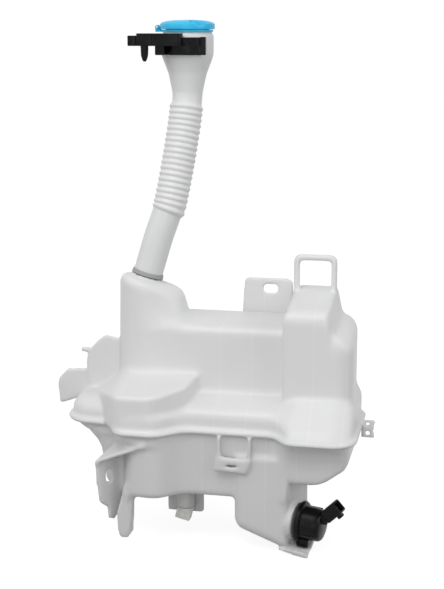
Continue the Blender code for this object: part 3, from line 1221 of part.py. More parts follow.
clear_scene()
PARTS = make_collection("washer_fluid_reservoir")
CUTTERS = make_collection("cutters")
WHITE = make_material("natural_polypropylene", (0.80, 0.81, 0.81), 0.45)
IVORY = make_material("sensor_polyamide", (0.74, 0.74, 0.72), 0.50)
BLACK = make_material("black_polyamide", (0.02, 0.02, 0.02), 0.35)
BLUE = make_material("blue_polyethylene", (0.03, 0.42, 0.72), 0.35)
RUBBER = make_material("black_rubber", (0.03, 0.03, 0.03), 0.75)
FOAM = make_material("float_foam", (0.30, 0.30, 0.31), 0.85)
STEEL = make_material("zinc_steel", (0.60, 0.61, 0.62), 0.35, 1.0)
BRASS = make_material("tinned_brass", (0.72, 0.62, 0.38), 0.30, 1.0)
COPPER = make_material("commutator_copper", (0.80, 0.42, 0.26), 0.30, 1.0)
FERRITE = make_material("ferrite", (0.10, 0.10, 0.11), 0.60)
CARBON = make_material("brush_carbon", (0.05, 0.05, 0.05), 0.70)
build()
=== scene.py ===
"""Finished look of the washer fluid reservoir, dressed over its solid model.

The two tank halves are skins drawn through fields of distance, so that every form runs into the next with a
soft moulded round; turned and swept pieces are profiles carried round or along an axis. Lengths are in
millimetres, and a corner of a plan is (x, y, radius).
"""

import math

import bpy
import numpy as np
from mathutils import Matrix, Vector


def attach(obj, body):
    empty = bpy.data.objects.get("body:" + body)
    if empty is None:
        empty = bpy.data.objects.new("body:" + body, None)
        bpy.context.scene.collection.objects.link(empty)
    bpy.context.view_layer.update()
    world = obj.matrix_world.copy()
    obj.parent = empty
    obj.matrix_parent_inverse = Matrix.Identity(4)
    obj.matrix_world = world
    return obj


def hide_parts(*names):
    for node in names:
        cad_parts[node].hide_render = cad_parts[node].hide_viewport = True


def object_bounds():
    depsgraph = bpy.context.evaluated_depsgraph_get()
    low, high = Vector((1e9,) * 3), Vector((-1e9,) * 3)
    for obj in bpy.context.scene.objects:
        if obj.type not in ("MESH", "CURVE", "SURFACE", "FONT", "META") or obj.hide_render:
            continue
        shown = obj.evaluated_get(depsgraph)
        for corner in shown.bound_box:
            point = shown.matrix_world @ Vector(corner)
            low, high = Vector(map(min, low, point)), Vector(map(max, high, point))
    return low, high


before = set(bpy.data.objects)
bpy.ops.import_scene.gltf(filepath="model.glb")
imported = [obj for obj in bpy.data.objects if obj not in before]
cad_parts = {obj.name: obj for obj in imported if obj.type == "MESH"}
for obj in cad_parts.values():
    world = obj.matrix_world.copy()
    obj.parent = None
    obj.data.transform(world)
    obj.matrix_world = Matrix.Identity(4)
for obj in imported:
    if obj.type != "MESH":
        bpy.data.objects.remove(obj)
SIZE_BEFORE = [[float(c) for c in corner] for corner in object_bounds()]
MM = 0.001
GRID = 1.8                    # pitch of the fields

# Tank
WALL = 2.6                    # wall of the solid model
THICK = 3.6                   # drawn a little thicker here, so that the grid can't open the wall
SEAM = -118.0                 # height of the weld plane
BACK = -6.0                   # plane of the back wall
SEAM_PLAN = [(-201, -1.5, 40), (-205, -99, 34), (-144, -103, 6), (-140, -136, 18), (-93, -136, 24),
             (-69, -112, 24), (22, -112, 14), (38, -134, 16), (106.5, -134, 25), (104.5, -1.5, 14)]
FLANGE = 4.5                  # the weld flange stands out from the walls by this much
FLANGE_UP, FLANGE_DOWN = 3.4, 2.6
LAP = 0.35                    # the welded halves run into each other by this much
TOWER = (-123.6, -50.0)       # axis of the filler tower
NECK = np.array((-122.2, -50.0, 29.7))   # middle of the neck's rim
LEAN = math.radians(16.8)     # how far the neck leans from upright
BEARING = math.radians(19.5)  # which way it leans, from X
NECK_UP = np.array((math.sin(LEAN) * math.cos(BEARING), math.sin(LEAN) * math.sin(BEARING), math.cos(LEAN)))
SUMP_PLAN = [(-19, -110.5, 9), (36, -114.5, 8), (53.9, -62, 6), (-15, -62, 10)]
SUMP_TURN = math.radians(18.8)
SENSOR = Matrix.Translation((-75.5, -78.5, 0))   # axis of the sensor
PUMP_TURN = math.radians(12.0)
PUMP_TILT = math.radians(3.5)
PUMP_AXIS = Vector((math.cos(PUMP_TURN) * math.cos(PUMP_TILT), -math.sin(PUMP_TURN) * math.cos(PUMP_TILT),
                    -math.sin(PUMP_TILT)))
PUMP_AT = Vector((45.282, -96.170, -209.5))      # middle of the pump's seat on the sump


# Distances on whole arrays
def soft_min(a, b, k):
    """The smaller of two distances, rounded where they meet: min(a, b) - k h h / 4.

    h is 1 - |a - b| / k, and 0 where that is less.
    """
    h = np.maximum(k - np.abs(a - b), 0.0) / k
    return np.minimum(a, b) - h * h * k / 4


def soft_max(a, b, k):
    """The larger of two distances, rounded where they meet."""
    return -soft_min(-a, -b, k)


def ramp(x, start, length):
    """0 up to start, 1 from start + length on, and 3 t t - 2 t t t between, where t is the part of the way."""
    t = np.clip((x - start) / length, 0.0, 1.0)
    return t * t * (3 - 2 * t)


def rounded(corners, turns=8):
    """Closed outline whose corners (x, y, radius) are arcs that touch both edges."""
    loop = []
    count = len(corners)
    for i in range(count):
        here = np.array(corners[i][:2], float)
        before = np.array(corners[i - 1][:2], float) - here
        after = np.array(corners[(i + 1) % count][:2], float) - here
        before /= np.linalg.norm(before)
        after /= np.linalg.norm(after)
        half = math.acos(float(np.clip(before @ after, -1, 1))) / 2
        radius = corners[i][2]
        if radius <= 0 or half > math.pi / 2 - 1e-3:
            loop.append(here[None])
            continue
        reach = radius / math.tan(half)
        middle = (before + after) / np.linalg.norm(before + after)
        centre = here + middle * radius / math.sin(half)
        a = here + before * reach - centre
        b = here + after * reach - centre
        start = math.atan2(a[1], a[0])
        sweep = (math.atan2(b[1], b[0]) - start + math.pi) % (2 * math.pi) - math.pi
        angle = start + sweep * np.linspace(0, 1, turns + 1)
        loop.append(centre + radius * np.stack([np.cos(angle), np.sin(angle)], axis=1))
    return np.concatenate(loop)


def oblong(x0, y0, x1, y1, r, turns=8):
    """A rectangle between two corners, with rounds of radius r."""
    return rounded([(x0, y0, r), (x1, y0, r), (x1, y1, r), (x0, y1, r)], turns)


def outline_distance(x, y, loop):
    """Distance from each point to a closed outline: the least over its edges, negative inside."""
    shape = np.broadcast(x, y).shape
    nearest = np.full(shape, 1e9)
    inside = np.zeros(shape, bool)
    for (x0, y0), (x1, y1) in zip(loop, np.roll(loop, -1, axis=0)):
        ex, ey = x1 - x0, y1 - y0
        t = np.clip(((x - x0) * ex + (y - y0) * ey) / (ex * ex + ey * ey + 1e-12), 0.0, 1.0)
        nearest = np.minimum(nearest, (x - x0 - t * ex) ** 2 + (y - y0 - t * ey) ** 2)
        crosses = (y0 > y) != (y1 > y)
        inside ^= crosses & (x < x0 + (y - y0) * ex / (ey if abs(ey) > 1e-9 else 1e-9))
    return np.where(inside, -1.0, 1.0) * np.sqrt(nearest)


def rectangle(x, y, x0, y0, x1, y1, r):
    """Distance to a rectangle that is square to the axes, with corners of radius r."""
    u = np.abs(x - (x0 + x1) / 2) - (x1 - x0) / 2 + r
    v = np.abs(y - (y0 + y1) / 2) - (y1 - y0) / 2 + r
    return np.hypot(np.maximum(u, 0), np.maximum(v, 0)) + np.minimum(np.maximum(u, v), 0) - r


def over_height(z, top):
    """Distance above a height map: z - top, over the root of 1 + slope squared."""
    sx, sy = np.gradient(top, GRID)
    return (z - top[:, :, None]) / np.sqrt(1 + sx * sx + sy * sy)[:, :, None]


def profile(at, corners):
    """Values at each place on the straight lines between corners (place, value)."""
    places, values = zip(*corners)
    return np.interp(at, places, values)


def evened(heights, rounds):
    """A height map after some rounds of (1, 2, 1) / 4 averages both ways."""
    for _ in range(rounds):
        wide = np.pad(heights, 1, "edge")
        heights = (wide[:-2, 1:-1] + 2 * heights + wide[2:, 1:-1]) / 4
        wide = np.pad(heights, 1, "edge")
        heights = (wide[1:-1, :-2] + 2 * heights + wide[1:-1, 2:]) / 4
    return heights


def local_to(frame_at, x, y, z):
    """Coordinates of the points in a frame's own axes."""
    m = np.array(frame_at.inverted())
    return tuple(m[i, 0] * x + m[i, 1] * y + m[i, 2] * z + m[i, 3] for i in range(3))


def upright(origin, turn=0.0):
    """Axes with X along the front turned about Z, Y up and Z towards the viewer."""
    return Matrix.Translation(origin) @ Matrix.Rotation(turn, 4, "Z") @ Matrix.Rotation(math.pi / 2, 4, "X")


def axes_of(direction, at, up=Vector((0, 0, 1))):
    """Axes at a place whose Z is the direction and whose Y is up."""
    side = up.cross(direction).normalized()
    return Matrix.Translation(at) @ Matrix((side, direction.cross(side), direction)).transposed().to_4x4()


def slab(frame_at, outline, thick, holes=(), edge=1.4):
    """A flat plate: the outline's distance met with |z| - thickness / 2, less its holes."""
    def shape(x, y, z):
        u, v, w = local_to(frame_at, x, y, z)
        flat = outline_distance(u, v, np.asarray(outline, float))
        for hole in holes:
            flat = soft_max(flat, -outline_distance(u, v, np.asarray(hole, float)), edge)
        return soft_max(flat, np.abs(w) - thick / 2, edge)
    return shape


def round_bar(frame_at, r, low, high, edge=1.2):
    """A round bar along the frame's Z from low to high."""
    def shape(x, y, z):
        u, v, w = local_to(frame_at, x, y, z)
        return soft_max(np.hypot(u, v) - r, np.maximum(low - w, w - high), edge)
    return shape


def block(frame_at, low, high, r=1.0):
    """A brick between two corners in the frame, with rounded edges."""
    def shape(x, y, z):
        p = local_to(frame_at, x, y, z)
        q = [np.abs(c - (a + b) / 2) - (b - a) / 2 + r for c, a, b in zip(p, low, high)]
        out = np.sqrt(sum(np.maximum(c, 0) ** 2 for c in q))
        return out + np.minimum(np.maximum(np.maximum(q[0], q[1]), q[2]), 0) - r
    return shape


class Field:
    """A box of space with the distance to the shape held at points GRID millimetres apart."""

    def __init__(self, low, high):
        self.low = np.array(low, float)
        counts = np.ceil((np.array(high) - self.low) / GRID).astype(int) + 1
        self.axes = [self.low[i] + GRID * np.arange(counts[i]) for i in range(3)]
        self.x = self.axes[0][:, None, None]
        self.y = self.axes[1][None, :, None]
        self.z = self.axes[2][None, None, :]
        self.d = np.full(tuple(counts), 1e3)

    def near(self, low, high, margin=8.0):
        """Slices of the box between two corners, with a margin."""
        cut = []
        for axis, a, b in zip(self.axes, low, high):
            cut.append(slice(int(np.searchsorted(axis, a - margin)), int(np.searchsorted(axis, b + margin))))
        return tuple(cut)

    def add(self, shape, low, high, k):
        """Joins a shape that lies between two corners, with a fillet of about k."""
        cut = self.near(low, high)
        d = shape(self.x[cut[0]], self.y[:, cut[1]], self.z[:, :, cut[2]])
        self.d[cut] = soft_min(self.d[cut], d, k)

    def cut(self, shape, low, high, k):
        """Cuts a shape away."""
        cut = self.near(low, high)
        d = shape(self.x[cut[0]], self.y[:, cut[1]], self.z[:, :, cut[2]])
        self.d[cut] = soft_max(self.d[cut], -d, k)

    def skin(self, plane, rounds=2):
        """Vertices and quads of the surface where the distance is 0.

        Each cell whose corners differ in sign gets one vertex, the mean of the points where its edges cross 0,
        and each grid edge that crosses gets a quad through the four cells round it. The net is then evened out
        by moving every vertex half way to the mean of its neighbours. The corner on the weld plane is kept.
        """
        d = self.d
        corner = {}
        for i in (0, 1):
            for j in (0, 1):
                for k in (0, 1):
                    corner[i, j, k] = d[i:d.shape[0] - 1 + i, j:d.shape[1] - 1 + j, k:d.shape[2] - 1 + k]
        below = sum((c < 0).astype(np.int8) for c in corner.values())
        mixed = (below > 0) & (below < 8)
        cell = np.argwhere(mixed)
        number = np.full(mixed.shape, -1)
        number[mixed] = np.arange(len(cell))
        value = {key: c[mixed] for key, c in corner.items()}
        total = np.zeros((len(cell), 3))
        hits = np.zeros(len(cell))
        for key, a in value.items():
            for axis in range(3):
                if key[axis]:
                    continue
                end = tuple(1 if n == axis else key[n] for n in range(3))
                b = value[end]
                crosses = (a < 0) != (b < 0)
                t = np.where(crosses, a / np.where(crosses, a - b, 1.0), 0.0)
                point = np.tile(np.array(key, float), (len(cell), 1))
                point[:, axis] = t
                total[crosses] += point[crosses]
                hits[crosses] += 1
        points = self.low + GRID * (cell + total / hits[:, None])
        quads = []
        for axis in range(3):
            u, v = [n for n in range(3) if n != axis]
            size = [slice(1, d.shape[n] - 1) for n in range(3)]
            size[axis] = slice(0, d.shape[axis] - 1)
            ahead = list(size)
            ahead[axis] = slice(1, d.shape[axis])
            a, b = d[tuple(size)], d[tuple(ahead)]
            at = np.argwhere((a < 0) != (b < 0))
            out = (a < 0)[tuple(at.T)]
            at[:, u] += 1
            at[:, v] += 1
            ring = []
            for du, dv in ((-1, -1), (0, -1), (0, 0), (-1, 0)):
                near = at.copy()
                near[:, u] += du
                near[:, v] += dv
                ring.append(number[tuple(near.T)])
            quad = np.stack(ring, axis=1)
            flip = out if axis != 1 else ~out
            quad[~flip] = quad[~flip][:, ::-1]
            quads.append(quad)
        quads = np.concatenate(quads)
        quads = quads[(quads >= 0).all(axis=1)]
        for _ in range(rounds):
            near = np.zeros_like(points)
            count = np.zeros(len(points))
            for a, b in ((0, 1), (1, 2), (2, 3), (3, 0)):
                for s, t in ((a, b), (b, a)):
                    for n in range(3):
                        near[:, n] += np.bincount(quads[:, s], points[quads[:, t], n], len(points))
                    count += np.bincount(quads[:, s], minlength=len(points))
            points = 0.5 * points + 0.5 * near / count[:, None]
        return on_weld_edge(points, plane), quads


def on_weld_edge(points, plane):
    """Moves the vertices near the flange's outer corner out to the seam plan, level with the weld plane."""
    loop = rounded(SEAM_PLAN)
    ring = np.flatnonzero(np.abs(points[:, 2] - plane) < 0.7 * GRID)
    x, y = points[ring, 0], points[ring, 1]
    d = outline_distance(x, y, loop)
    near = np.abs(d) < 0.75 * GRID
    ring, x, y, d = ring[near], x[near], y[near], d[near]
    slope = np.stack([outline_distance(x + 0.1, y, loop) - d, outline_distance(x, y + 0.1, loop) - d], axis=1)
    slope /= np.linalg.norm(slope, axis=1)[:, None] + 1e-9
    points = points.copy()
    points[ring, :2] -= d[:, None] * slope
    points[ring, 2] = plane
    return points


# Meshes
def new_piece(name, points, faces, material):
    """A mesh object at the origin from points in millimetres and faces of equal length."""
    points = np.asarray(points, float) * MM
    faces = np.asarray(faces, np.int32)
    mesh = bpy.data.meshes.new(name)
    mesh.vertices.add(len(points))
    mesh.vertices.foreach_set("co", points.ravel())
    mesh.loops.add(faces.size)
    mesh.loops.foreach_set("vertex_index", faces.ravel())
    mesh.polygons.add(len(faces))
    mesh.polygons.foreach_set("loop_start", np.arange(len(faces), dtype=np.int32) * faces.shape[1])
    mesh.update(calc_edges=True)
    mesh.validate()
    mesh.polygons.foreach_set("use_smooth", np.ones(len(mesh.polygons), bool))
    mesh.materials.append(material)
    obj = bpy.data.objects.new(name, mesh)
    bpy.context.scene.collection.objects.link(obj)
    return obj


def ring_faces(rows, cols):
    """Quads of a grid of points that is closed both ways, along its rows and round its columns."""
    i = np.arange(rows)[:, None]
    j = np.arange(cols)[None, :]
    i2, j2 = (i + 1) % rows, (j + 1) % cols
    quads = np.stack(np.broadcast_arrays(i * cols + j, i * cols + j2, i2 * cols + j2, i2 * cols + j), axis=-1)
    return quads.reshape(-1, 4)


def softened_copy(name, node, material, width):
    """A node's own shape with its flat triangles merged and its edges rounded by width millimetres."""
    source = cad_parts[node]
    mesh = source.data.copy()
    mesh.name = name
    mesh.transform(source.matrix_world)
    mesh.materials.clear()
    mesh.materials.append(material)
    obj = bpy.data.objects.new(name, mesh)
    bpy.context.scene.collection.objects.link(obj)
    weld = obj.modifiers.new("merge", "WELD")
    weld.merge_threshold = 0.02 * MM
    flat = obj.modifiers.new("flat", "DECIMATE")
    flat.decimate_type = "DISSOLVE"
    flat.angle_limit = math.radians(1)
    edges = obj.modifiers.new("edges", "BEVEL")
    edges.width = width * MM
    edges.segments = 2
    edges.limit_method = "ANGLE"
    edges.angle_limit = math.radians(30)
    edges.use_clamp_overlap = True
    mesh.polygons.foreach_set("use_smooth", np.ones(len(mesh.polygons), bool))
    mesh.set_sharp_from_angle(angle=math.radians(40))
    return obj


# Materials
def shader(name, colour, roughness, **sockets):
    """A material whose Principled shader has these values; a socket's spaces are written as underscores."""
    material = bpy.data.materials.new(name)
    material.use_nodes = True
    principled = material.node_tree.nodes["Principled BSDF"]
    principled.inputs["Base Color"].default_value = (*colour, 1.0)
    principled.inputs["Roughness"].default_value = roughness
    for key, value in sockets.items():
        principled.inputs[key.replace("_", " ")].default_value = value
    return material


def maths(tree, operation, *values):
    """The output of a Math node whose inputs are numbers or other nodes' outputs."""
    node = tree.nodes.new("ShaderNodeMath")
    node.operation = operation
    for socket, value in zip(node.inputs, values):
        if isinstance(value, float):
            socket.default_value = value
        else:
            tree.links.new(value, socket)
    return node.outputs[0]


def toned(tree, colour, factor):
    """The output of a node that scales a colour by a factor."""
    node = tree.nodes.new("ShaderNodeVectorMath")
    node.operation = "SCALE"
    tree.links.new(colour, node.inputs[0])
    tree.links.new(factor, node.inputs["Scale"])
    return node.outputs[0]


def moulded_grain():
    """Group: a slow cloud that tones the colour, a fine grain for roughness and a height for the bump."""
    group = bpy.data.node_groups.new("moulded grain", "ShaderNodeTree")
    entries = (("Colour", "NodeSocketColor", (0.8, 0.8, 0.8, 1)), ("Tone", "NodeSocketFloat", 0.03),
               ("Cloud Scale", "NodeSocketFloat", 22.0), ("Grain Scale", "NodeSocketFloat", 900.0),
               ("Roughness", "NodeSocketFloat", 0.4), ("Spread", "NodeSocketFloat", 0.08))
    for name, kind, value in entries:
        group.interface.new_socket(name=name, in_out="INPUT", socket_type=kind).default_value = value
    exits = (("Colour", "NodeSocketColor"), ("Roughness", "NodeSocketFloat"), ("Height", "NodeSocketFloat"))
    for name, kind in exits:
        group.interface.new_socket(name=name, in_out="OUTPUT", socket_type=kind)
    nodes, links = group.nodes, group.links
    entry, exit_ = nodes.new("NodeGroupInput"), nodes.new("NodeGroupOutput")
    place = nodes.new("ShaderNodeTexCoord")
    cloud, grain = nodes.new("ShaderNodeTexNoise"), nodes.new("ShaderNodeTexNoise")
    cloud.inputs["Detail"].default_value = 4.0
    grain.inputs["Detail"].default_value = 2.0
    for noise, scale in ((cloud, "Cloud Scale"), (grain, "Grain Scale")):
        links.new(place.outputs["Object"], noise.inputs["Vector"])
        links.new(entry.outputs[scale], noise.inputs["Scale"])
    centred = maths(group, "SUBTRACT", cloud.outputs["Fac"], 0.5)
    swing = maths(group, "MULTIPLY_ADD", centred, entry.outputs["Tone"], 1.0)
    links.new(toned(group, entry.outputs["Colour"], swing), exit_.inputs["Colour"])
    both = maths(group, "ADD", cloud.outputs["Fac"], grain.outputs["Fac"])
    about = maths(group, "SUBTRACT", both, 1.0)
    rough = maths(group, "MULTIPLY_ADD", about, entry.outputs["Spread"], entry.outputs["Roughness"])
    links.new(rough, exit_.inputs["Roughness"])
    links.new(grain.outputs["Fac"], exit_.inputs["Height"])
    return group


def grained(material, bump=0.04, distance=0.05, **values):
    """Places the grain group in a material and feeds its colour, roughness and bump."""
    nodes, links = material.node_tree.nodes, material.node_tree.links
    principled = nodes["Principled BSDF"]
    node = nodes.new("ShaderNodeGroup")
    node.node_tree = GRAIN
    node.inputs["Colour"].default_value = principled.inputs["Base Color"].default_value
    node.inputs["Roughness"].default_value = principled.inputs["Roughness"].default_value
    for key, value in values.items():
        node.inputs[key].default_value = value
    links.new(node.outputs["Colour"], principled.inputs["Base Color"])
    links.new(node.outputs["Roughness"], principled.inputs["Roughness"])
    raised = nodes.new("ShaderNodeBump")
    raised.inputs["Strength"].default_value = bump
    raised.inputs["Distance"].default_value = distance * MM
    links.new(node.outputs["Height"], raised.inputs["Height"])
    links.new(raised.outputs["Normal"], principled.inputs["Normal"])
    return material


def polypropylene(name, colour, roughness):
    """Natural polypropylene: a pale plastic that lets a little light in."""
    plastic = shader(name, colour, roughness, IOR=1.49, Subsurface_Weight=0.22,
                     Subsurface_Radius=(0.010, 0.009, 0.008), Subsurface_Scale=0.6)
    return grained(plastic, Tone=0.05)


LINE_PITCH = 32.85            # between the pale lines on the faint ridges that the mould's vents leave; their paleness is a painted highlight
LINE_POWER = 420.0            # the higher, the thinner they are
LINES_FROM, LINES_FULL = -75.0, -60.0    # they fade in from left to right between these places


def mould_ridge_highlights(material, start, lift):
    """Faint pale lines square to X, where the mould leaves faint ridges; their paleness is a painted
    highlight. An even comb, the cosine of X, raised to a high power.
    """
    tree = material.node_tree
    place, split = tree.nodes.new("ShaderNodeTexCoord"), tree.nodes.new("ShaderNodeSeparateXYZ")
    tree.links.new(place.outputs["Object"], split.inputs[0])
    rate, offset = math.pi / (LINE_PITCH * MM), -math.pi * start / LINE_PITCH
    turned = maths(tree, "MULTIPLY_ADD", split.outputs["X"], rate, offset)
    line = maths(tree, "POWER", maths(tree, "ABSOLUTE", maths(tree, "COSINE", turned)), LINE_POWER)
    reach = tree.nodes.new("ShaderNodeMapRange")
    fade = {"From Min": LINES_FROM * MM, "From Max": LINES_FULL * MM, "To Min": 0.0, "To Max": lift}
    for key, value in fade.items():
        reach.inputs[key].default_value = value
    tree.links.new(split.outputs["X"], reach.inputs["Value"])
    gain = maths(tree, "MULTIPLY_ADD", line, reach.outputs[0], 1.0)
    base = tree.nodes["Principled BSDF"].inputs["Base Color"]
    tree.links.new(toned(tree, base.links[0].from_socket, gain), base)


GRAIN = moulded_grain()
MOULDED = polypropylene("natural polypropylene, upper half", (0.70, 0.705, 0.70), 0.42)
# The lower half is the same polypropylene painted darker: painted shade for the weaker light that reaches
# below the flange
MOULDED_SHADED_LOW = polypropylene("natural polypropylene, lower half, painted shade", (0.62, 0.625, 0.62), 0.44)
# Pale lines on both halves: the mould's faint ridges, with their highlight painted into the colour
mould_ridge_highlights(MOULDED, -6.5, 0.036)
mould_ridge_highlights(MOULDED_SHADED_LOW, -18.5, 0.045)
TANK = polypropylene("natural polypropylene", (0.70, 0.705, 0.70), 0.42)
BLUE = grained(shader("blue polyethylene", (0.014, 0.47, 0.78), 0.36, IOR=1.5), Tone=0.10)
BLACK = grained(shader("black polyamide", (0.004, 0.004, 0.0045), 0.30, IOR=1.45, Specular_IOR_Level=0.14),
                Tone=0.25)
RUBBER = grained(shader("black rubber", (0.035, 0.035, 0.037), 0.62), Tone=0.25, Spread=0.15)
GREY_RUBBER = grained(shader("grey rubber", (0.32, 0.325, 0.33), 0.6), Tone=0.15, Spread=0.12)
IVORY = grained(shader("ivory polyamide", (0.80, 0.80, 0.78), 0.45, Subsurface_Weight=0.1,
                       Subsurface_Scale=0.002), Tone=0.06)
FOAM = grained(shader("closed-cell foam", (0.26, 0.26, 0.27), 0.85), bump=0.4, distance=0.3, Tone=0.3)
STEEL = grained(shader("zinc steel", (0.60, 0.61, 0.62), 0.32, Metallic=1.0), Tone=0.12)
BRASS = grained(shader("tinned brass", (0.74, 0.66, 0.46), 0.28, Metallic=1.0), Tone=0.12)
COPPER = grained(shader("commutator copper", (0.80, 0.42, 0.26), 0.3, Metallic=1.0), Tone=0.15)
FERRITE = grained(shader("ferrite", (0.09, 0.09, 0.10), 0.6), Tone=0.3)
CARBON = grained(shader("brush carbon", (0.045, 0.045, 0.045), 0.7), Tone=0.3)


# Tank, upper half
COVER_PLAN = [(-188, -20, 3), (-187, -53, 3), (-136.4, -131, 10), (-99, -131, 26), (-68, -101, 22),
              (-63, -76, 8), (-63, -20, 8)]
BLOCK_PLAN = [(27, -4, 4), (27, -93, 5), (99, -93, 17), (93.5, -4, 6)]


def under(f, plan, heights, edge):
    """Distance to the prism over a plan, given as the plan's own distance, with a height map for its top."""
    return soft_max(plan[:, :, None], over_height(f.z, heights), edge)


def upper_skirt(f, px, py):
    """The seam plan drawn in by the flange, under a height map.

    The map is a shelf that rises inward from the front wall. It starts lower and rises faster over the front
    right bulge and falls off at the right end; at the left end it turns into a step that follows the wall.
    """
    wall = outline_distance(px, py, rounded(SEAM_PLAN)) + FLANGE
    front, depth, low, rise = -107.5, 36.0, -97.5, 0.36
    bulge_front, bulge_drop, bulge_rise, end_drop = 22.0, 14.5, 0.52, 9.0
    bulge = ramp(px, 20, 22)
    end = ramp(px, 83, 20)
    ahead = np.clip(py - front + bulge_front * bulge, 0.0, depth)
    shelf = low + rise * ahead - bulge * (bulge_drop - bulge_rise * ahead) - end_drop * end
    left_low, left_step = -103.0, 9.0
    left_end = left_low + np.minimum(np.maximum(-wall, 0.0), left_step)
    shelf = evened(left_end + (shelf - left_end) * ramp(px, -134, 24), 20)
    return under(f, wall, shelf, 9.0)


def front_left_cover(f, px, py):
    """The front left lobe: its plan under a flat top that falls off to the front and to the left."""
    top, front_fall, left_fall = -67.0, 0.24, 0.72
    to_front = soft_min(py + 75, 0 * px, 10.0)
    to_left = soft_min(px + 139, 0 * py, 8.0)
    heights = top + front_fall * to_front + left_fall * to_left
    return under(f, outline_distance(px, py, rounded(COVER_PLAN)), heights, 3.0)


def recessed_middle(f, px, py):
    """The middle: a rounded rectangle under a crown that rises a little to the back."""
    crown_front, crown_rise = -16.5, 4.0
    crown = crown_front + crown_rise * ramp(py, -70, 50) + 0 * px
    return under(f, rectangle(px, py, -104, -74, 40, -4, 10), crown, 10.0)


def right_block(f, px, py):
    """The right block: its plan under a head that falls to the front, with a lower shoulder on the right."""
    head_top, head_fall = 19.0, 0.17
    shoulder_top, shoulder_fall, end_fall = -7.0, 0.10, 0.5
    head = head_top + head_fall * np.minimum(py + 12, 0.0)
    shoulder = shoulder_top + shoulder_fall * (py + 12) - end_fall * np.maximum(px - 76, 0.0)
    head = evened(head + (shoulder - head) * ramp(px, 73, 5), 2)
    return under(f, outline_distance(px, py, rounded(BLOCK_PLAN)), head, 12.0)


def filler_tower(f):
    """The tower: an upright cylinder, wider towards its foot, under the plane of the leaning neck."""
    top_r, growth, top, length, under_rim = 27.0, 2.5, 19, 127, 3.2
    r = top_r + growth * np.clip((top - f.z) / length, 0, 1)
    along = (f.x - NECK[0]) * NECK_UP[0] + (f.y - NECK[1]) * NECK_UP[1] + (f.z - NECK[2]) * NECK_UP[2]
    return soft_max(np.hypot(f.x - TOWER[0], f.y - TOWER[1]) - r, along + under_rim, 12.0)


def tower_flare(f):
    """The flare at the tower's right: a cone that widens downwards until it runs into the middle."""
    top_r, growth, top, length, across_slope = 19.0, 12.0, 19, 41, 0.96
    r = top_r + growth * np.clip((top - f.z) / length, 0, 1)
    return soft_max((np.hypot(f.x + 106, f.y + 46) - r) * across_slope, f.z - 17, 10.0)


def upper_body(f):
    """Distance to the upper body: its forms joined with fillets and cut flat at the back."""
    px, py = f.x[:, :, 0], f.y[:, :, 0]
    body = soft_min(upper_skirt(f, px, py), front_left_cover(f, px, py), 3.0)
    body = soft_min(body, recessed_middle(f, px, py), 6.0)
    body = soft_min(body, right_block(f, px, py), 5.0)
    body = soft_min(body, filler_tower(f), 7.0)
    body = soft_min(body, tower_flare(f), 10.0)
    return soft_max(body, f.y - BACK, 6.0)


def rear_lug(f):
    """The rear lug with its slot, and the step that it stands on."""
    lug = rounded([(-32, -36, 1), (27.5, -36, 1), (23.5, 22.5, 6), (-28, 22.5, 5)])
    slot = oblong(-7.4, 6.6, 7.4, 15.4, 3)
    f.add(slab(upright((0, -2, 0)), lug, 4.0, [slot]), (-33, -6, -38), (29, 1, 24), 2.5)
    f.add(block(Matrix(), (-27, -12, -34), (22.5, -2, -17.5)), (-28, -13, -35), (24, -1, -16), 2.0)


def head_loop(f):
    """The loop that stands on the right block's head."""
    loop, hole = oblong(28.5, 5, 73.5, 53.5, 7), oblong(34.7, 9.4, 67.3, 47.3, 3.5)
    f.add(slab(upright((0, -27, 0)), loop, 7.0, [hole], 2.2), (28, -31, 4), (74, -23, 54), 3.0)


def left_ear(f):
    """The left ear with its arm, the brace and the mounting pad behind them, and the peg."""
    at = upright((-146, -56, 0), math.radians(-12))
    ear = rounded([(20, -104, 0), (20, -40, 0), (-9, -37.5, 5), (-23, -36, 6), (-32, -42.5, 6), (-40, -51, 8),
                   (-45.2, -59.5, 8), (-47, -69, 8), (-45.5, -78, 4), (-41, -104, 0)], 4)
    arm = rounded([(-33, -74, 0), (-69.7, -77.6, 2), (-74.6, -81.8, 3), (-82.6, -90.5, 4), (-83.2, -98.1, 4),
                   (-81.8, -114.8, 3), (-80, -118, 1.5), (-66, -112.8, 2), (-53.4, -106.8, 2),
                   (-33, -100, 0)], 4)
    brace = [(12, -100), (12, -80), (-28, -80), (-28, -85), (-16, -100)]
    pad = oblong(-77.5, -106, -60, -86, 2, 4)
    box = ((-230, -72, -122), (-120, -32, -32))
    for plan, back, thick, edge, fillet in ((ear, 0.0, 4.0, 1.4, 2.5), (arm, -1.3, 4.0, 1.4, 2.0),
                                            (brace, -3.1, 3.0, 1.4, 1.6), (pad, -3.1, 2.0, 0.6, 0.8)):
        f.add(slab(at @ Matrix.Translation((0, 0, back)), plan, thick, (), edge), *box, fillet)
    peg = at @ Matrix.Translation((-41.2, -54.3, 0)) @ Matrix.Rotation(math.pi / 2, 4, "Y")
    f.add(round_bar(peg, 2.9, -11.6, 0), (-202, -54, -62), (-180, -38, -46), 1.2)


def right_tab(f):
    """The small tab at the right end of the flange, with two square eyes."""
    tab = rounded([(98.5, -117, 0), (98.5, -111.5, 0), (118, -110.8, 1), (119.2, -114, 1), (117, -117, 1),
                   (117.6, -121, 1), (116.8, -124, 1), (119, -130, 1), (117.5, -131.5, 1), (103.2, -131, 1),
                   (103.2, -117, 0)], 3)
    eyes = [oblong(109.2, low, 112.8, low + 2.6, 1, 4) for low in (-127.2, -117.6)]
    f.add(slab(upright((0, -52, 0)), tab, 3.0, eyes, 0.8), (98, -55, -133), (120, -49, -110), 1.4)


def seam_distance(f):
    """Distance to the seam plan, the flange's edge."""
    return outline_distance(f.x[:, :, 0], f.y[:, :, 0], rounded(SEAM_PLAN))[:, :, None]


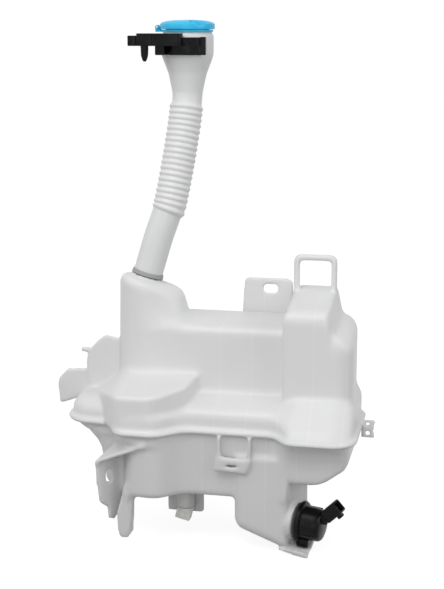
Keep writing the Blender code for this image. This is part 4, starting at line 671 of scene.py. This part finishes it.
def upper_skin():
    """The upper half: body and flange above the seam, hollowed by the same body drawn in by the wall."""
    f = Field((-234, -142, -136), (124, 6, 62))
    body = upper_body(f)
    f.d = soft_min(body, soft_max(seam_distance(f), f.z - SEAM - FLANGE_UP, 2.4), 2.5)
    neck = axes_of(Vector(NECK_UP), Vector(NECK), Vector((0, 1, 0)))
    f.add(round_bar(neck, 16.8, -9, 0, 1.0), (-144, -72, 12), (-100, -28, 36), 1.6)
    f.d = soft_max(f.d, SEAM - LAP - f.z, 0.6)
    rear_lug(f)
    head_loop(f)
    left_ear(f)
    right_tab(f)
    f.d = np.maximum(f.d, -(body + THICK))
    f.cut(round_bar(neck, 13.8, -26, 12, 0.4), (-142, -70, 0), (-100, -30, 44), 0.8)
    return f.skin(plane=SEAM - LAP)


# Tank, lower half: (depth under the origin, place of the wall at that depth)
LEFT_WALL = ((118, -206), (123.5, -196), (129, -181), (139, -171), (148, -166), (190, -160))
RIGHT_WALL = ((118, 103), (129, 101.5), (139, 99.5), (148, 94), (162, 75), (166, 69), (190, 60))
FRONT_WALL = ((118, -131), (123.5, -126), (129, -121), (139, -118), (148, -116.8), (190, -116))


def lower_tray(f, px, py):
    """The tray: the seam plan drawn in by the flange, met with walls that move in with depth and a floor."""
    down = -f.z[0, 0]
    wall = seam_distance(f) + FLANGE
    bulge = ramp(px, 8, 12)[:, :, None]
    corner_r, corner_spread, right_slope = 30.5, 14, 0.86
    corner = np.hypot(np.minimum(px + 103, 0), np.minimum(py + 101, 0)) - corner_r
    corner = soft_min(corner, -98 - py, 6.0)[:, :, None] - corner_spread * ramp(f.z, -136, 16)
    tray = soft_max(wall, profile(down, LEFT_WALL) - f.x, 22.0)
    tray = soft_max(tray, corner, 8.0)
    tray = soft_max(tray, (f.x - profile(down, RIGHT_WALL)) * right_slope, 8.0)
    tray = soft_max(tray, profile(down, FRONT_WALL) - f.y - 60 * (1 - bulge), 7.0)
    left_floor, step_up = -187, 21.5
    floor = left_floor + step_up * ramp(px, 35.5, 5.0) + 0 * py
    return soft_max(tray, -over_height(f.z, floor), 7.0)


def sump(f, px, py):
    """The sump: a prism over a floor that falls to the right."""
    left_floor, fall = -217, 0.36
    floor = left_floor - fall * (px + 19) + 0 * py
    walls = outline_distance(px, py, rounded(SUMP_PLAN))[:, :, None]
    return soft_max(soft_max(walls, -over_height(f.z, floor), 11.0), f.z + 140, 4.0)


def lower_body(f):
    """Distance to the lower body: tray and sump, cut flat at the back."""
    px, py = f.x[:, :, 0], f.y[:, :, 0]
    body = soft_min(lower_tray(f, px, py), sump(f, px, py), 4.0)
    return soft_max(body, f.y - BACK, 5.0)


def sensor_seat(f):
    """The round boss that holds the sensor, and the guard plate behind it."""
    f.add(round_bar(SENSOR, 9.5, -210, -184, 1.0), (-86, -90, -212), (-64, -68, -184), 2.5)
    guard = rounded([(-98, -220, 4), (-58, -220, 4), (-58, -185, 0.5), (-98, -185, 0.5)])
    f.add(slab(upright((0, -67.7, 0)), guard, 3.0), (-99, -70, -221), (-57, -65, -184), 2.0)


def front_frame(f):
    """The frame under the flange: two uprights, a short foot under each and a slotted cross plate."""
    for x in (-34.5, -3.2):
        upright_bar = block(Matrix(), (x, -115.5, -150), (x + 3.4, -106, -120), 0.8)
        f.add(upright_bar, (x, -116, -151), (x + 4, -106, -119), 1.2)
    for x in (-35.5, -5.5):
        foot = block(Matrix(), (x, -115, -155.2), (x + 3, -106, -142), 0.8)
        f.add(foot, (x, -116, -156), (x + 4, -106, -141), 1.0)
    cross = rounded([(-38.5, -156.5, 2), (-4.5, -158, 2), (1, -143, 1), (-35, -141, 1)])
    slot = oblong(-25, -151.5, -14, -149.5, 0.8)
    f.add(slab(upright((0, -113, 0)), cross, 6.0, [slot]), (-39, -117, -159), (2, -109, -140), 1.6)


def left_foot(f):
    """The left foot: a slotted plate turned 52 degrees, with a sloping gusset over it."""
    tip = Vector((-159, -129, -152))
    plate = rounded([(0, -153, 1), (1.5, -176, 4), (4.5, -195.5, 3), (14, -203, 2), (15, -215, 2),
                     (21.5, -217.5, 2), (31, -208.5, 3), (56, -185, 0), (56, -130, 0), (20, -144, 0)], 4)
    slot = oblong(12.5, -175.5, 19, -162, 3, 4)
    at = upright((tip.x + 1, tip.y + 1, 0), math.radians(52))
    f.add(slab(at, plate, 4.0, [slot]), (-162, -132, -220), (-118, -78, -128), 11.0)
    rise_right, rise_back = 0.43, 0.28

    def on_gusset(x, y):
        return Vector((x, y, tip.z + rise_right * (x - tip.x) + rise_back * (y - tip.y)))

    along = (on_gusset(-106, -133.5) - tip).normalized()
    up = along.cross(on_gusset(-143, -100) - tip).normalized()
    gusset_at = Matrix.Translation(tip) @ Matrix((along, up.cross(along), up)).transposed().to_4x4()
    corners = [(-159, -129), (-106, -133.5), (-104, -120), (-124, -92), (-143, -100)]
    gusset = [tuple((gusset_at.inverted() @ on_gusset(x, y)).xy) for x, y in corners]
    f.add(slab(gusset_at, gusset, 4.0), (-163, -138, -158), (-102, -88, -112), 4.0)


def left_leg(f):
    """The leg beside the foot, stiffened by a web behind it."""
    leg = rounded([(-130, -176, 6), (-139.4, -208, 6), (-138, -230, 2), (-134.5, -234.5, 2), (-128, -234.5, 2),
                   (-125, -230, 2), (-123.5, -215, 3), (-118, -176, 4)], 4)
    f.add(slab(upright((0, -118, 0)), leg, 4.0), (-141, -121, -235), (-115, -115, -168), 7.0)
    web = [(-3, -184), (0, -224), (4, -231), (10, -228), (14, -184)]
    web_at = upright((-127, -120, 0), math.radians(72))
    f.add(slab(web_at, web, 3.0), (-131, -124, -232), (-119, -104, -183), 1.6)


def pump_guard(f):
    """The guard under the pump: a shelf at the sump's foot that climbs to the back, with a lip in front."""
    drop, climb = math.radians(4), math.radians(7)
    across = Vector((math.sin(SUMP_TURN), math.cos(SUMP_TURN), 0))
    ahead = Vector((math.cos(SUMP_TURN), -math.sin(SUMP_TURN), 0))
    out = ahead * math.cos(drop) - Vector((0, 0, math.sin(drop)))
    rise = out.cross(across * math.cos(climb) + Vector((0, 0, math.sin(climb)))).normalized()
    at = Matrix.Translation((36, -114.5, -236.4)) @ Matrix((out, rise.cross(out), rise)).transposed().to_4x4()
    shelf = [(-9, 0), (25, 0), (25, 2), (17, 33), (-9, 33)]
    f.add(slab(at, shelf, 2.8, (), 0.8), (22, -126, -244), (76, -78, -228), 1.4)
    f.add(block(at, (-1, -0.8, -1.6), (25.2, 1.6, 4.8), 0.7), (33, -128, -244), (64, -110, -228), 1.0)


def lower_skin():
    """The lower half: body and flange below the seam, hollowed, with the pump's and the sensor's holes."""
    f = Field((-212, -142, -262), (124, 6, -100))
    body = lower_body(f)
    f.d = soft_min(body, soft_max(seam_distance(f), SEAM - FLANGE_DOWN - f.z, 2.4), 2.0)
    f.d = soft_max(f.d, f.z - SEAM - LAP, 0.6)
    pump = axes_of(PUMP_AXIS, PUMP_AT)
    f.add(round_bar(pump, 19.4, -9, 0, 0.8), (34, -122, -234), (66, -70, -184), 1.4)
    sensor_seat(f)
    front_frame(f)
    left_foot(f)
    left_leg(f)
    pump_guard(f)
    f.d = np.maximum(f.d, -(body + THICK))
    f.cut(round_bar(pump, 15.5, -18, -WALL, 0.4), (22, -118, -228), (62, -74, -192), 0.6)
    f.cut(round_bar(pump, 11.8, -14, 10, 0.4), (22, -116, -228), (62, -76, -192), 0.6)
    tab_notch = block(Matrix(), (102.4, -54.6, -134), (109, -49.4, -116), 0.4)
    f.cut(tab_notch, (102, -55, -134), (109, -49, -116), 0.4)
    f.cut(round_bar(SENSOR, 7.0, -222, -178, 0.4), (-84, -88, -220), (-66, -70, -178), 0.6)
    return f.skin(plane=SEAM + LAP)


# Filler tube
def smooth_path(points, per=24):
    """Catmull-Rom curve through the points, with per steps from each to the next."""
    p = np.asarray(points, float)
    last = len(p) - 1
    out = []
    t = (np.arange(per) / per)[:, None]
    for i in range(last):
        a, b, c, d = p[max(i - 1, 0)], p[i], p[i + 1], p[min(i + 2, last)]
        out.append(0.5 * (2 * b + (c - a) * t + (2 * a - 5 * b + 4 * c - d) * t ** 2
                          + (3 * b - a - 3 * c + d) * t ** 3))
    return np.concatenate([*out, p[-1:]])


TUBE_PATH = smooth_path([
    NECK - NECK_UP * 11.5, NECK + NECK_UP * 6, NECK + NECK_UP * 22, (-110.9, -46.0, 69.5),
    (-104.2, -42.7, 90.0), (-100.0, -39.8, 103.0), (-95.7, -34.0, 128.8), (-92.3, -28.0, 154.1),
    (-89.2, -22.0, 180.5), (-87.3, -18.0, 201.0), (-86.7, -15.5, 213.0), (-86.7, -13.8, 235.0),
    (-86.8, -13.0, 255.0), (-86.8, -13.0, 280.0)])
TUBE_WALL = 1.6
RIDGE_LOW, RIDGE_HIGH, RIDGES = 95.0, 204.0, 19   # heights between which the ridges lie, and their number
VALLEY_R, RIDGE_RISE = 16.0, 1.6
# (run, radius) in the grey sleeve and above it, and (height, radius) from the waist to the rim
FOOT_R = ((0, 12.1), (12.6, 12.1), (14.8, 15.2))
MOUTH_R = ((200, 15.6), (208, 15.3), (216, 15.6), (226, 17.5), (236, 19.8), (244, 22.8), (251, 25.6),
           (256, 26.8), (273.5, 26.8), (276.2, 25.6), (277.5, 24.8), (281, 24.8))


def tube_radius(z, run):
    """Outer radius along the tube: plain foot, ridges as a raised cosine, waist, and the wide mouth."""
    wave = (z - RIDGE_LOW) / (RIDGE_HIGH - RIDGE_LOW) * RIDGES
    crest = (0.5 - 0.5 * np.cos(2 * np.pi * wave)) ** 0.75
    ridge = np.where((wave > 0) & (wave < RIDGES), VALLEY_R + RIDGE_RISE * crest, 0)
    return np.where(z > RIDGE_HIGH, profile(z, MOUTH_R), np.maximum(profile(run, FOOT_R), ridge))


def averaged(values, weights):
    """Values after a running mean with these weights, the ends held."""
    weights = np.asarray(weights, float)
    return np.convolve(np.pad(values, len(weights) // 2, "edge"), weights / weights.sum(), "valid")


def filler_tube():
    """The tube: circles of the radius above, square to the path, outside up and the bore back down."""
    run = np.concatenate(([0], np.cumsum(np.linalg.norm(np.diff(TUBE_PATH, axis=0), axis=1))))
    step, turns = 0.55, 96
    even = np.append(np.arange(0, run[-1], step), run[-1])
    place = np.stack([np.interp(even, run, TUBE_PATH[:, n]) for n in range(3)], axis=1)
    heading = np.gradient(place, axis=0)
    heading = np.stack([averaged(heading[:, n], np.ones(13)) for n in range(3)], axis=1)
    heading /= np.linalg.norm(heading, axis=1)[:, None]
    r = tube_radius(place[:, 2], even)
    outside = averaged(r, (1, 2, 3, 2, 1))
    outside[-3:] = r[-3:]
    widest = np.where(place[:, 2] < RIDGE_HIGH, 15.7, 99)
    bore = averaged(np.minimum(r, widest), np.ones(9)) - TUBE_WALL
    side = np.cross(np.array((0.0, 1.0, 0.0)), heading)
    side /= np.linalg.norm(side, axis=1)[:, None]
    rise = np.cross(heading, side)
    angle = 2 * np.pi * np.arange(turns) / turns
    spoke = np.cos(angle)[None, :, None] * side[:, None] + np.sin(angle)[None, :, None] * rise[:, None]
    outer = place[:, None] + outside[:, None, None] * spoke
    inner = (place[:, None] + bore[:, None, None] * spoke)[::-1][::3]
    rows = np.concatenate([outer, inner])
    return rows.reshape(-1, 3), ring_faces(len(rows), turns)


CREASE = math.radians(58)     # sharper edges of the tank's halves stay creased
upper = new_piece("upper_tank_half", *upper_skin(), MOULDED)
upper.data.set_sharp_from_angle(angle=CREASE)
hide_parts("upper_tank_shell")
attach(upper, "tank")
# The lower half takes the darker copy of the polypropylene, a painted shade
lower = new_piece("lower_tank_half", *lower_skin(), MOULDED_SHADED_LOW)
lower.data.set_sharp_from_angle(angle=CREASE)
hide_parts("lower_tank_shell")
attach(lower, "tank")
tube = new_piece("dressed_tube", *filler_tube(), TANK)
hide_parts("filler_tube")
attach(tube, "tank")

# Pieces that keep the solid model's shape: material, width of the rounded edges, body
FINISH = {
    "inlet_strainer": (TANK, 0.15, "tank"), "filler_cap": (BLUE, 0.5, "cap"), "cap_ring": (BLUE, 0.25, "tank"),
    "cap_hinge_pin": (STEEL, 0.15, "tank"), "cap_seal": (RUBBER, 0.2, "cap"),
    "neck_grommet": (GREY_RUBBER, 0.3, "tank"), "neck_clip": (BLACK, 0.5, "tank"),
    "pump_grommet": (RUBBER, 0.3, "tank"), "pump_housing": (BLACK, 0.4, "tank"),
    "pump_end_cap": (BLACK, 0.4, "tank"), "pump_terminal_1": (BRASS, 0.1, "tank"),
    "pump_terminal_2": (BRASS, 0.1, "tank"), "sensor_body": (IVORY, 0.25, "tank"),
    "sensor_terminal_1": (BRASS, 0.1, "tank"), "sensor_terminal_2": (BRASS, 0.1, "tank"),
}
for node, (material, width, body) in FINISH.items():
    piece = softened_copy("dressed_" + node, node, material, width)
    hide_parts(node)
    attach(piece, body)

# Hidden pieces, carried over as they are
CARRIED = {
    "motor_can": STEEL, "motor_magnet_1": FERRITE, "motor_magnet_2": FERRITE, "motor_shaft": STEEL,
    "motor_armature": STEEL, "motor_commutator": COPPER, "motor_brush_1": CARBON, "motor_brush_2": CARBON,
    "front_bush": BRASS, "rear_bush": BRASS, "impeller": BLACK, "sensor_seal": RUBBER, "sensor_float": FOAM,
    "float_stop": IVORY,
}
for node, material in CARRIED.items():
    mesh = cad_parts[node].data
    mesh.materials.clear()
    mesh.materials.append(material)


# Stage, in metres and watts
FLOOR_PAINT = (0.30, 0.30, 0.30, 1)
FLOOR_GLOW = 0.86             # what the camera and reflections see of the floor's own light
ROOM_LIGHT = 0.50             # the white room's light on the tank
LAMPS = (("top lamp", (-0.25, -0.8, 1.10), 0.8, 7.0), ("left lamp", (-1.3, -1.0, 0.6), 1.0, 4.0),
         ("front lamp", (0.1, -1.8, 0.25), 1.0, 4.0), ("right lamp", (1.4, -0.6, 0.6), 0.9, 6.0))
LAMPS_AIM = Vector((-0.03, -0.06, 0.02))
CAMERA_AT = (0.2306, -1.3363, 0.2798)
CAMERA_ROUND, CAMERA_ABOVE = math.radians(12), math.radians(11.5)
LENS, FILM_WIDTH = 79.46, 36.0


def seen_directly(tree, path):
    """1 for rays from the camera and for reflections."""
    return maths(tree, "MAXIMUM", path.outputs["Is Camera Ray"], path.outputs["Is Glossy Ray"])


def pale_floor():
    """A pale floor under the tank that glows to the camera and keeps the tank's shadow."""
    paint = bpy.data.materials.new("pale floor")
    paint.use_nodes = True
    tree = paint.node_tree
    nodes, links = tree.nodes, tree.links
    nodes.clear()
    path, lit = nodes.new("ShaderNodeLightPath"), nodes.new("ShaderNodeEmission")
    matt = nodes.new("ShaderNodeBsdfDiffuse")
    links.new(maths(tree, "MULTIPLY", seen_directly(tree, path), FLOOR_GLOW), lit.inputs["Strength"])
    matt.inputs["Color"].default_value = FLOOR_PAINT
    add, out = nodes.new("ShaderNodeAddShader"), nodes.new("ShaderNodeOutputMaterial")
    links.new(lit.outputs[0], add.inputs[0])
    links.new(matt.outputs[0], add.inputs[1])
    links.new(add.outputs[0], out.inputs["Surface"])
    height = min(corner[2] for corner in SIZE_BEFORE) - 0.0005
    half = 6.0
    mesh = bpy.data.meshes.new("floor")
    corners = [(x, y, height) for x, y in ((-half, -half), (half, -half), (half, half), (-half, half))]
    mesh.from_pydata(corners, [], [(0, 1, 2, 3)])
    mesh.materials.append(paint)
    obj = bpy.data.objects.new("floor", mesh)
    bpy.context.scene.collection.objects.link(obj)
    return obj


def white_room():
    """A world that the camera, reflections and clear parts see as white, and that lights the tank less."""
    world = bpy.data.worlds.new("white room")
    bpy.context.scene.world = world
    world.use_nodes = True
    tree = world.node_tree
    nodes, links = tree.nodes, tree.links
    nodes.clear()
    path, level = nodes.new("ShaderNodeLightPath"), nodes.new("ShaderNodeMapRange")
    back, out = nodes.new("ShaderNodeBackground"), nodes.new("ShaderNodeOutputWorld")
    level.inputs["To Min"].default_value = ROOM_LIGHT
    level.inputs["To Max"].default_value = 1.0
    seen = maths(tree, "MAXIMUM", seen_directly(tree, path), path.outputs["Is Transmission Ray"])
    links.new(seen, level.inputs["Value"])
    links.new(level.outputs[0], back.inputs["Strength"])
    back.inputs["Color"].default_value = (1, 1, 1, 1)
    links.new(back.outputs[0], out.inputs["Surface"])


def soft_lamps():
    """Broad square lamps, all turned to the tank."""
    for name, at, size, watts in LAMPS:
        lamp = bpy.data.lights.new(name, "AREA")
        lamp.size = size
        lamp.energy = watts
        holder = bpy.data.objects.new(name, lamp)
        turned = (Vector(at) - LAMPS_AIM).to_track_quat("Z", "Y").to_matrix().to_4x4()
        holder.matrix_world = Matrix.Translation(at) @ turned
        bpy.context.scene.collection.objects.link(holder)


def camera():
    """Seen from the front, 12 degrees round to the right and 11.5 degrees from above."""
    level = math.cos(CAMERA_ABOVE)
    back = Vector((math.sin(CAMERA_ROUND) * level, -math.cos(CAMERA_ROUND) * level, math.sin(CAMERA_ABOVE)))
    data = bpy.data.cameras.new("camera")
    data.sensor_width = FILM_WIDTH
    data.lens = LENS
    holder = bpy.data.objects.new("camera", data)
    holder.matrix_world = Matrix.Translation(CAMERA_AT) @ back.to_track_quat("Z", "Y").to_matrix().to_4x4()
    bpy.context.scene.collection.objects.link(holder)
    bpy.context.scene.camera = holder


floor = pale_floor()
white_room()
soft_lamps()
camera()
bpy.context.scene.view_settings.view_transform = "Standard"
